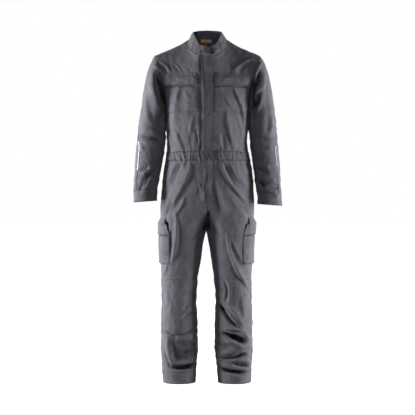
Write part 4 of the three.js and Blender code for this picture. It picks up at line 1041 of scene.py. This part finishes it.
def mean_size(grid):
    """A grid's mean width and height, along it."""
    return [np.linalg.norm(np.diff(grid, axis=k), axis=2).sum(axis=k).mean() for k in (1, 0)]


def panel_grid(grid, raised=("right",), step=FINE_STEP, hem=False, name=""):
    """A fine panel with seams at its edges, and perhaps a hem at its last edge, and its painted shade in
    creases and along seams and hem.
    """
    wide, tall = mean_size(grid[..., :3])
    rows = graded(0, grid.shape[0] - 1, tall, step)
    columns = graded(0, grid.shape[1] - 1, wide, step)
    if hem:
        extra = (grid.shape[0] - 1) * (1 - np.array(HEM_ROWS) / tall)
        rows = np.sort(np.concatenate([rows, extra]))
        rows = rows[np.concatenate([[True], np.diff(rows) > 0.05])]
    fine, normals = np.split(read(grid, rows, columns), 2, axis=2)
    normals = unit(normals)
    relief = fine_creases(fine, normals)
    # Painted shade along the seams and beside the hem's stitching
    shade = np.zeros(relief.shape)
    for k, (edge, distance) in enumerate(zip(EDGES, edge_distances(fine))):
        if edge == "last" and hem:
            relief += hem_relief(distance, fine)
            shade = np.maximum(shade, SEAM_SHADE * near(distance, HEM_WIDE + 1.5, 1.8))
        else:
            relief += seam_relief(distance, SEAM_SEED + k, fine, edge in raised)
            shade = np.maximum(shade, SEAM_SHADE * near(distance, 0, 2.2))
    relief += gap_relief(name, fine)
    hollow = np.maximum(hollow_of(relief, fine, normals), shade)
    surface = fine + normals * relief[..., None]
    ways = edge_distances(fine)
    if hem:
        stitch(surface, normals, ways, ("last",), (HEM_WIDE - 2,))
    stitch(surface, normals, ways, [edge for edge in raised if not (hem and edge == "last")], SEAM_LINES)
    return surface, hollow


settled_normals = skin.normals(settled)


def skin_grid(name):
    """A panel's settled points and outward normals, side by side, and whether its faces are turned."""
    ids = skin.grids[name]
    return np.concatenate([settled[ids], settled_normals[ids]], axis=2), skin.turned[name]


def joined(first, second, meet):
    """Two half grids that meet at their first (0) or last (1) column, as one grid and its turn."""
    (a, a_turned), (b, b_turned) = skin_grid(first), skin_grid(second)
    if meet == 0:
        return np.concatenate([a[:, ::-1], b[:, 1:]], axis=1), b_turned
    return np.concatenate([a, b[:, ::-1][:, 1:]], axis=1), a_turned


# How thick the pieces' walls are, and how fine the grids of the narrow bands
CLOTH_WALL = 1.6
DOUBLE_WALL = 2.2
KNEE_WALL = 1.4
PLACKET_WALL = 2.4
PIPING_WALL = 1
LABEL_WALL = 0.7
BAND_STEP = 2.6


def add_panel(name, turned, made, wall=CLOTH_WALL):
    surface, hollow = made
    add_shell(name, surface, turned, wall, replaces=[name], slot="cloth", hollow=hollow)


def make_panels():
    for side_name in SIDES:
        name = "upper_front_" + side_name
        grid, turned = skin_grid(name)
        add_panel("front_" + side_name, turned, panel_grid(grid, ("last",), name=name))
        for face_name in FACES:
            at_back = face_name == "back"
            name = "leg_" + face_name + "_" + side_name
            grid, turned = skin_grid(name)
            raised = ("right", "left") if at_back else ()
            add_panel(name, turned, panel_grid(grid, raised, hem=True, name=name))
            name = "sleeve_" + face_name + "_" + side_name
            grid, turned = skin_grid(name)
            add_panel(name, turned, panel_grid(grid, ("right",) if at_back else ()))
        for kind, stem in (("waist", "waistband_"), ("cuff", "cuff_")):
            grid, turned = joined(kind + "_front_" + side_name, kind + "_back_" + side_name, 1)
            made = panel_grid(grid, ("first", "last"), step=BAND_STEP)
            add_panel(stem + side_name, turned, made, DOUBLE_WALL)
    grid, turned = joined("upper_back_right", "upper_back_left", 0)
    add_panel("back", turned, panel_grid(grid, ("last",)))


def place_of(keys, value):
    """The fractional row or column at which a grid has this key."""
    keys = np.asarray(keys, float)
    if keys[0] > keys[-1]:
        return float(np.interp(-value, -keys, np.arange(len(keys))))
    return float(np.interp(value, keys, np.arange(len(keys))))


def places(keys, *values):
    return [place_of(keys, value) for value in values]


UPPER_ROW_KEYS = np.concatenate([TRUNK_ROWS, CHEST_ROWS])
PATCH_STEP = 3.2


class Patch:
    """A fine grid over part of a panel, or all of it, from which a piece is lifted and sewn on."""

    def __init__(self, grid, turned, rows=None, columns=None, calm=0):
        grid = grid[..., :3]
        rows = rows or (0, grid.shape[0] - 1)
        columns = columns or (0, grid.shape[1] - 1)
        wide, tall = mean_size(read(grid, np.linspace(*rows, 9), np.linspace(*columns, 9)))
        fine = read(grid, graded(*rows, tall, PATCH_STEP), graded(*columns, wide, PATCH_STEP))
        for _ in range(calm):
            fine[1:-1] = (fine[:-2] + 2 * fine[1:-1] + fine[2:]) / 4
            fine[:, 1:-1] = (fine[:, :-2] + 2 * fine[:, 1:-1] + fine[:, 2:]) / 4
        self.turned = turned
        self.normals = grid_normals(fine) * (-1 if turned else 1)
        relief = fine_creases(fine, self.normals)
        self.points = fine + self.normals * relief[..., None]
        self.ways = edge_distances(self.points)
        # Painted shade where the cloth is drawn in, and along the piece's edges
        self.hollow = hollow_of(relief, self.points, self.normals)
        self.paint_shade(SEAM_SHADE * near(np.minimum.reduce(self.ways), 0, 2))

    # Darkens more of the piece's colour with painted shade
    def paint_shade(self, hollow):
        self.hollow = np.maximum(self.hollow, hollow)

    def crumple(self, scale, seed, squash=(1, 1, 1)):
        return crumple(self.points, scale, seed, squash)

    def bulge(self, edges, reach):
        """From 0 at the given edges to 1 at a reach from them."""
        return math.prod(smooth(way / reach) for way, edge in zip(self.ways, EDGES) if edge in edges)

    def grooves(self, edges, lines=SEAM_LINES):
        """Grooves of the stitching beside some edges."""
        sewn = [way for way, edge in zip(self.ways, EDGES) if edge in edges]
        return -STITCH_GROOVE * sum(near(way, line, 0.9) for way in sewn for line in lines)

    def sew_on(self, name, lift, edges, lines=SEAM_LINES, wall=CLOTH_WALL):
        """Adds the piece, lifted from its panel, and notes its stitching."""
        surface = self.points + self.normals * lift[..., None]
        stitch(surface, self.normals, self.ways, edges, lines)
        add_panel(name, self.turned, (surface, self.hollow), wall)


# How far the chest pockets stand off the fronts, and how much their flaps crumple
POCKET_LIFT = 2
FLAP_ROUGH = {"right": 2.4, "left": 1.0}


def make_chest_pockets():
    for side_name in SIDES:
        inner, outer, flap_outer = POCKET_U[side_name]
        grid, turned = skin_grid("upper_front_" + side_name)
        rows = places(UPPER_ROW_KEYS, CHEST_POCKET_LOW_Z, FLAP_TOP_Z - 12)
        pocket = Patch(grid, turned, rows, places(COLUMNS, inner, outer), 2)
        sewn = ("left", "right", "first")
        lift = POCKET_LIFT + 2.6 * pocket.bulge(sewn, 34) + pocket.grooves(sewn)
        lift += 1.5 * pocket.crumple(26, 41, (1, 1, 0.45)) * pocket.bulge(sewn, 18)
        lift += 0.35 * pocket.crumple(6, 47) * (1 - pocket.bulge(sewn, 12))
        # Below the flap's lower edge: a groove in the pocket, with painted shadow in it
        under = near(pocket.points[..., 2], FLAP_LOW_Z - 4.5, 3.4)
        pocket.paint_shade(under)
        pocket.sew_on("chest_pocket_" + side_name, lift - 6 * under, sewn)
        rows = places(UPPER_ROW_KEYS, FLAP_LOW_Z, FLAP_TOP_Z)
        flap = Patch(grid, turned, rows, places(COLUMNS, inner, flap_outer), 2)
        free = flap.bulge(("last",), 30)
        lift = 2.2 + 6.5 * free * (0.6 + 0.4 * flap.bulge(("left", "right"), 16)) + flap.grooves(EDGES)
        lift += FLAP_ROUGH[side_name] * flap.crumple(17, 52, (1, 1, 0.8)) * free
        lift += 0.5 * flap.crumple(6, 57) * (1 - flap.bulge(("last",), 10))
        flap.sew_on("chest_flap_" + side_name, lift, EDGES, wall=DOUBLE_WALL)


# How far the front top corner of each cargo pocket hangs open
CARGO_GAPE = {"right": 36, "left": 24}


def make_cargo_pockets():
    for side_name in SIDES:
        grid, turned = joined("leg_front_" + side_name, "leg_back_" + side_name, 1)
        front, flap_front, back = places(COLUMNS, CARGO["frontU"], CARGO["flapU"], CARGO["backU"])
        back = grid.shape[1] - 1 - back
        pocket = Patch(grid, turned, places(LEG_ROWS, CARGO["top"], CARGO["low"]), (front, back), 3)
        sewn = ("left", "right", "last")
        box = pocket.bulge(sewn, 7)
        lift = 1 + 8.5 * box * mix(0.35, 1, smooth(pocket.ways[0] / 50))
        lift += 2 * pocket.bulge(sewn, 60) + pocket.grooves(sewn, (12, 17))
        corner = (1 - smooth(pocket.ways[0] / 17)) * (1 - smooth(pocket.ways[2] / 34))
        pocket.points[..., 2] -= CARGO_GAPE[side_name] * corner
        lift += 1.6 * pocket.crumple(24, 61, (1, 1, 0.6)) * box
        # Below the flap's lower edge: a dip in the pocket, with painted shadow in it
        under = box * near(pocket.points[..., 2], CARGO["flapLow"] - 5, 4)
        pocket.paint_shade(0.7 * under)
        pocket.sew_on("cargo_pocket_" + side_name, lift - 3 * under, sewn, (12,))
        rows = places(LEG_ROWS, CARGO["flapTop"], CARGO["flapLow"])
        flap = Patch(grid, turned, rows, (flap_front, back), 3)
        free = flap.bulge(("first",), 26)
        lift = 1.6 + 12.5 * free * mix(0.5, 1, smooth(flap.ways[0] / 45)) + flap.grooves(EDGES)
        lift += 1.5 * flap.crumple(20, 66) * free
        flap.sew_on("cargo_flap_" + side_name, lift, EDGES, wall=DOUBLE_WALL)


def make_knee_pockets():
    for side_name in SIDES:
        grid, turned = skin_grid("leg_front_" + side_name)
        columns = places(COLUMNS, KNEE["innerU"], KNEE["outerU"])
        patch = Patch(grid, turned, places(LEG_ROWS, KNEE["top"], KNEE["low"]), columns)
        lift = 1.1 + patch.grooves(EDGES) + 0.5 * patch.crumple(6, 71) * (1 - patch.bulge(EDGES, 11))
        patch.sew_on("knee_pocket_" + side_name, lift, EDGES, wall=KNEE_WALL)


# How far the placket's top stands up over the collar's front, on the wearer's right
PLACKET_RISES = (7, 14, 20)


def middle_rows():
    """The middle of the front from the fly's end to the neck, over both halves, as one grid."""
    parts = []
    half = round(place_of(COLUMNS, PLACKET_U))
    for kind, first, last in (
        ("leg", round(place_of(LEG_ROWS, FLY_LOW_Z)), 0),
        ("waist", len(WAIST_ROWS) - 1, 0),
        ("upper", 0, len(UPPER_ROW_KEYS) + TURNED_ROWS - 1),
    ):
        both, _ = joined(kind + "_front_right", kind + "_front_left", 0)
        centre = both.shape[1] // 2
        step = 1 if last > first else -1
        middle = both[:, centre - half : centre + half + 1, :3]
        rows = middle[np.arange(first, last + step, step)]
        parts.append(rows[1:] if parts else rows)
    grid = np.concatenate(parts)
    top = grid[-1]
    for rise in PLACKET_RISES:
        height = rise * mix(1, 0.25, clamp01((top[:, 0] + 26) / 52))
        up = top + np.stack([0 * height, -0.12 * height, height], axis=1)
        grid = np.concatenate([grid, up[None]])
    return grid


def make_placket():
    grid = middle_rows()
    patch = Patch(grid, bool(grid_normals(grid)[..., 1].mean() > 0), calm=2)
    high = smooth((patch.points[..., 2] + 420) / 200)
    lift = 1.5 + mix(2, 3.6, high) * (1 - smooth(patch.ways[0] / 9))
    lift += patch.grooves(("left", "right"), (7,)) + patch.grooves(("right",), (2,))
    lift += 0.8 * patch.crumple(22, 81, (1, 1, 0.5))
    lift += 0.5 * patch.crumple(6, 84) * (1 - patch.bulge(("right",), 12))
    patch.sew_on("placket", lift, ("left", "right"), (7,), PLACKET_WALL)


COLLAR_WALL = 3.2

# Where the collar's front edges lie, as x at shares of its height. The left one is a rounded corner.
COLLAR_ENDS = table(
    "rise right left",
    (0.0, 4, 18),
    (0.2, 5, 27),
    (0.42, 5, 31),
    (0.7, 2, 24),
    (1.0, -3, 13),
)


def collar_grid():
    """The stand collar, from its front edge on the wearer's right round the back to the left one."""
    lines = []
    shares = np.linspace(0, 1, 22)
    for rise in np.linspace(0, 1, 11):
        line = []
        for q, (side, face) in enumerate(((-1, -1), (-1, 1), (1, 1), (1, -1))):
            low = along(neck_seam(side, face), shares) - [0, 0, 2]
            high = along(collar_edge(side, face), shares)
            quarter = mix(low, high, rise)
            if q % 2:
                quarter = quarter[::-1]
            line.append(quarter if q == 0 else quarter[1:])
        line = np.concatenate(line)
        right, left = [np.interp(rise, COLLAR_ENDS["rise"], COLLAR_ENDS[name]) for name in SIDES]
        run = run_of(line)
        places_on = np.linspace(-right, run[-1] - left, 90)
        points = np.stack([np.interp(places_on, run, line[:, k]) for k in range(3)], axis=1)
        points[:, 0] += np.maximum(0, -places_on)
        points[:, 1] += 5 * smooth((18 - places_on) / 22) * (places_on < 60)
        lines.append(points)
    return np.array(lines)


def make_collar():
    grid = collar_grid()
    turned = bool((grid_normals(grid) * grid * [1, 1, 0]).sum(axis=2).mean() < 0)
    patch = Patch(grid, turned)
    soft = patch.crumple(13, 91, (1, 1, 0.35))
    free = ("left", "right", "last")
    lift = patch.grooves(free, COLLAR_LINES) + 2 * soft
    lift += 0.7 * patch.crumple(6, 95) * (1 - patch.bulge(("first",), 14))
    lift += 5 * near(patch.ways[1], 0, 16) * near(patch.ways[2], 22, 16)
    # Painted shade in the dips of the collar's crumple
    patch.paint_shade(0.45 * smooth((0.2 - soft) / 0.9))
    patch.sew_on("collar", lift, free, COLLAR_LINES, COLLAR_WALL)


# The pale piping in each sleeve's outer seam: its top and low end, and its half width
PIPING = {"right": (-452, -578, 2.9), "left": (-468, -560, 2.3)}


def make_piping():
    for side_name in SIDES:
        high, low, half = PIPING[side_name]
        front, _ = skin_grid("sleeve_front_" + side_name)
        back, _ = skin_grid("sleeve_back_" + side_name)
        seam = front[:, -1]
        rows = np.linspace(*np.interp([-high, -low], -seam[:, 2], np.arange(len(seam))), 44)
        middle, normals = np.split(read(front[:, -3:], rows, [2]), 2, axis=2)
        beside = read(back[:, -3:, :3], rows, [1])
        normals = unit(normals[:, 0])
        across = beside[:, 0] - middle[:, 0]
        across = unit(across - normals * (across * normals).sum(axis=1, keepdims=True))
        lines = []
        for share in np.linspace(-1, 1, 7):
            rise = 0.4 + 1.8 * math.sqrt(max(0, 1 - share * share))
            lines.append(middle[:, 0] + across * half * share + normals * rise)
        grid = np.stack(lines, axis=1)
        outward = (grid_normals(grid) * normals[:, None]).sum(axis=2).mean()
        replaced = ["piping_" + side_name]
        name = "piping_seam_" + side_name
        add_shell(name, grid, bool(outward < 0), PIPING_WALL, "silver", replaces=replaced, slot="piping")


STITCH_STEP = 4.2
STITCH_LONG = 3.0
STITCH_WIDE = 0.9
STITCH_HIGH = 0.55
STITCHES_IN_PIECE = 6000
# A stitch's faces, over the four corners of its foot and the two ends of its ridge
STITCH_FACES = ((1, 4, 0), (3, 5, 2), (5, 4, 1), (2, 5, 1), (4, 5, 3), (0, 4, 3), (2, 1, 0), (3, 2, 0))


def make_stitches():
    """Every line of stitching as raised threads, each a small ridge."""
    corners = []
    for path in STITCHES:
        run = run_of(path[:, :3])
        if run[-1] < 3 * STITCH_STEP:
            continue
        places = np.arange(STITCH_STEP, run[-1] - STITCH_STEP, STITCH_STEP)
        middle, ahead = [
            np.stack([np.interp(places + d, run, path[:, k]) for k in range(6)], axis=1) for d in (0, 1)
        ]
        normals = unit(middle[:, 3:])
        way = unit(ahead[:, :3] - middle[:, :3])
        across = np.cross(way, normals) * STITCH_WIDE / 2
        end = way * STITCH_LONG / 2
        low, high = middle[:, :3] - normals * 0.25, middle[:, :3] + normals * STITCH_HIGH
        ridge = end * 0.6
        foot = [low - end - across, low - end + across, low + end + across, low + end - across]
        corners.append(np.stack([*foot, high - ridge, high + ridge], axis=1))
    corners = np.concatenate(corners)
    for number, start in enumerate(range(0, len(corners), STITCHES_IN_PIECE)):
        part = corners[start : start + STITCHES_IN_PIECE]
        faces = (np.arange(len(part))[:, None, None] * 6 + np.array(STITCH_FACES)).reshape(-1, 3).tolist()
        add_piece("stitching_%d" % (number + 1), part.reshape(-1, 3), faces, "thread", smooth_shading=False)


def make_guard():
    """The zip's guard, which shows as a soft flap behind the open front of the collar."""
    lines = (
        ((-24, -60, -37), (-8, -66, -34), (8, -66, -35), (19, -60, -39)),
        ((-26, -66, -46), (-8, -72, -43), (9, -71, -44), (22, -64, -46)),
        ((-26, -74, -68), (-10, -80, -66), (6, -80, -64), (26, -73, -58)),
    )
    grid = read(np.array(lines, float), np.linspace(0, 2, 12), np.linspace(0, 3, 22))
    normals = grid_normals(grid)
    turned = bool(normals[..., 1].mean() > 0)
    if turned:
        normals = -normals
    grid = grid + normals * 1.2 * crumple(grid, 11, 101)[..., None]
    add_shell("zip_guard", grid, turned, DOUBLE_WALL, slot="cloth")


def make_label():
    """Plain labels inside the collar at the nape: a brown one, and a tan and pale green one on it."""
    for name, left, right, low, high, lift, material in (
        ("label_back", -43, 8, -10, 9, 4.5, "brown"),
        ("label_tan", -30, 1, 1, 15, 5.5, "tan"),
        ("label_green", 1.2, 20, 1, 15, 5.5, "green"),
    ):
        across, up = np.meshgrid(np.linspace(left, right, 12), np.linspace(low, high, 6))
        share = clamp01((up - 8) / 48)
        deep = mix(NECK["back"], COLLAR["back"], share)
        half = mix(NECK["half"], COLLAR["half"], share)
        y = deep * np.sqrt(1 - (across / half) ** 2) - COLLAR_WALL - lift
        grid = np.stack([across, y, up], axis=2)
        turned = bool(grid_normals(grid)[..., 1].mean() > 0)
        more = dict(replaces=["neck_label"]) if name == "label_tan" else {}
        add_shell(name, grid, turned, LABEL_WALL, material, slot="label", **more)


# The cloth's brightness under the darkest painted shade, as a share of its own colour
HOLLOW_SHADE = 0.12


def plain_material(name, colour, rough, shine=0.25):
    material = bpy.data.materials.new(name)
    material.use_nodes = True
    inputs = material.node_tree.nodes["Principled BSDF"].inputs
    inputs["Base Color"].default_value = (*colour, 1)
    inputs["Roughness"].default_value = rough
    inputs["Specular IOR Level"].default_value = shine
    return material, inputs


def add_node(tree, kind, values=None, sources=None, **settings):
    """Adds a node with its settings, the values of some inputs, and the outputs that feed others."""
    node = tree.nodes.new(kind)
    for key, setting in settings.items():
        setattr(node, key, setting)
    for key, value in (values or {}).items():
        node.inputs[key].default_value = value
    for key, source in (sources or {}).items():
        tree.links.new(source, node.inputs[key])
    return node.outputs


def cloth_material(colour):
    """A twill with a slightly uneven dye, small wrinkles, and shade painted into its colour in creases,
    along seams and under flaps.
    """
    material, inputs = plain_material("cloth", colour, 0.9)
    tree = material.node_tree
    place = {"Vector": add_node(tree, "ShaderNodeTexCoord")["Object"]}
    dye = add_node(tree, "ShaderNodeTexNoise", {"Scale": 26, "Detail": 5}, place)
    ramp = tree.nodes.new("ShaderNodeValToRGB")
    for element, position, share in zip(ramp.color_ramp.elements, (0.3, 0.7), (0.9, 1.1)):
        element.position = position
        element.color = (*(c * share for c in colour), 1)
    tree.links.new(dye["Fac"], ramp.inputs["Fac"])
    # Painted shade: each point's stored value darkens the dyed colour, down to HOLLOW_SHADE of it
    hollow = {"Value": add_node(tree, "ShaderNodeAttribute", attribute_name="hollow")["Fac"]}
    paint_shade = add_node(tree, "ShaderNodeMapRange", {"To Min": 1, "To Max": HOLLOW_SHADE}, hollow)
    dye_and_painted_shade = {0: ramp.outputs["Color"], "Scale": paint_shade["Result"]}
    shaded = add_node(tree, "ShaderNodeVectorMath", sources=dye_and_painted_shade, operation="SCALE")
    tree.links.new(shaded["Vector"], inputs["Base Color"])
    bands = dict(wave_type="BANDS", bands_direction="DIAGONAL")
    twill = add_node(tree, "ShaderNodeTexWave", {"Scale": 320, "Distortion": 1.2}, place, **bands)
    small = add_node(tree, "ShaderNodeTexNoise", {"Scale": 75, "Detail": 4}, place)
    shape = {}
    for strength, distance, height in ((0.5, 0.0035, small), (0.35, 0.0005, twill)):
        shape["Height"] = height["Fac"]
        bump = add_node(tree, "ShaderNodeBump", {"Strength": strength, "Distance": distance}, shape)
        shape["Normal"] = bump["Normal"]
    tree.links.new(bump["Normal"], inputs["Normal"])
    return material


MATERIALS["cloth"] = cloth_material((0.114, 0.1105, 0.129))
for name, colour, rough in (
    ("tan", (0.55, 0.36, 0.16), 0.8),
    ("green", (0.42, 0.45, 0.33), 0.8),
    ("silver", (0.72, 0.73, 0.75), 0.4),
    ("thread", (0.16, 0.158, 0.17), 0.7),
    ("brown", (0.16, 0.07, 0.02), 0.9),
):
    MATERIALS[name], _ = plain_material(name, colour, rough)
make_panels()
make_chest_pockets()
make_cargo_pockets()
make_knee_pockets()
make_placket()
make_collar()
make_guard()
make_label()
make_piping()
make_stitches()


# The stage, lights and camera. The camera is level, 5 m in front of the suit.
CAMERA_Z = -742
CAMERA_Y = -5000
LENS = 97.5
FLOOR_Z = -1519
FLOOR_REACH = 60000


def add_stage():
    """A plain pale floor."""
    mesh = bpy.data.meshes.new("floor")
    corners = [(x * FLOOR_REACH, y * FLOOR_REACH) for x, y in ((-1, -1), (1, -1), (1, 1), (-1, 1))]
    mesh.from_pydata([(x * MM, y * MM, FLOOR_Z * MM) for x, y in corners], [], [(0, 1, 2, 3)])
    floor = bpy.data.objects.new("floor", mesh)
    bpy.context.scene.collection.objects.link(floor)
    material, inputs = plain_material("floor", (0.9, 0.9, 0.9), 1, 0)
    inputs["Emission Color"].default_value = (1, 1, 1, 1)
    inputs["Emission Strength"].default_value = 1
    mesh.materials.append(material)
    floor.visible_diffuse = False


def add_light(name, place, aim, size, power_watts):
    light = bpy.data.lights.new(name, "AREA")
    light.shape = "RECTANGLE"
    light.size, light.size_y = size
    light.energy = power_watts
    lamp = bpy.data.objects.new(name, light)
    lamp.location = Vector(place) * MM
    way = Vector(aim) * MM - lamp.location
    lamp.rotation_euler = way.to_track_quat("-Z", "Y").to_euler()
    bpy.context.scene.collection.objects.link(lamp)


add_stage()
add_light("left_box", (-2600, -360, -500), (0, 0, -800), (0.5, 1.6), 138)
add_light("right_box", (2600, -360, -1000), (0, 0, -950), (0.5, 1.4), 118)
add_light("left_rear_box", (-2300, 1300, -200), (0, 0, -750), (0.5, 1.8), 50)
add_light("right_rear_box", (2300, 1300, -300), (0, 0, -750), (0.5, 1.8), 45)
add_light("front_fill", (0, -4100, 500), (0, 0, -750), (2.2, 1.2), 31)
add_light("rear_fill", (0, 4300, 500), (0, 0, -750), (2.2, 2.2), 50)

# The sky is white to the camera, and gives the suit a dim light that comes mostly from above.
SKY_LIGHT = (0.05, 0.09)
world = bpy.data.worlds.new("world")
bpy.context.scene.world = world
world.use_nodes = True
sky = world.node_tree
backdrop = sky.nodes["Background"].inputs
backdrop["Color"].default_value = (1, 1, 1, 1)
place = {"Vector": add_node(sky, "ShaderNodeTexCoord")["Generated"]}
height = {"Value": add_node(sky, "ShaderNodeSeparateXYZ", sources=place)["Z"]}
upward = {"From Min": -0.3, "From Max": 0.9, "To Min": SKY_LIGHT[0], "To Max": SKY_LIGHT[1]}
dim = add_node(sky, "ShaderNodeMapRange", upward, height)
seen = {"Value": add_node(sky, "ShaderNodeLightPath")["Is Camera Ray"], "To Min": dim["Result"]}
strength = add_node(sky, "ShaderNodeMapRange", {"To Max": 1}, seen)
sky.links.new(strength["Result"], backdrop["Strength"])

camera_data = bpy.data.cameras.new("camera")
camera_data.sensor_width = 36
camera_data.lens = LENS
camera = bpy.data.objects.new("camera", camera_data)
camera.location = (0, CAMERA_Y * MM, CAMERA_Z * MM)
camera.rotation_euler = (math.pi / 2, 0, 0)
bpy.context.scene.collection.objects.link(camera)
bpy.context.scene.camera = camera
bpy.context.scene.view_settings.view_transform = "Standard"
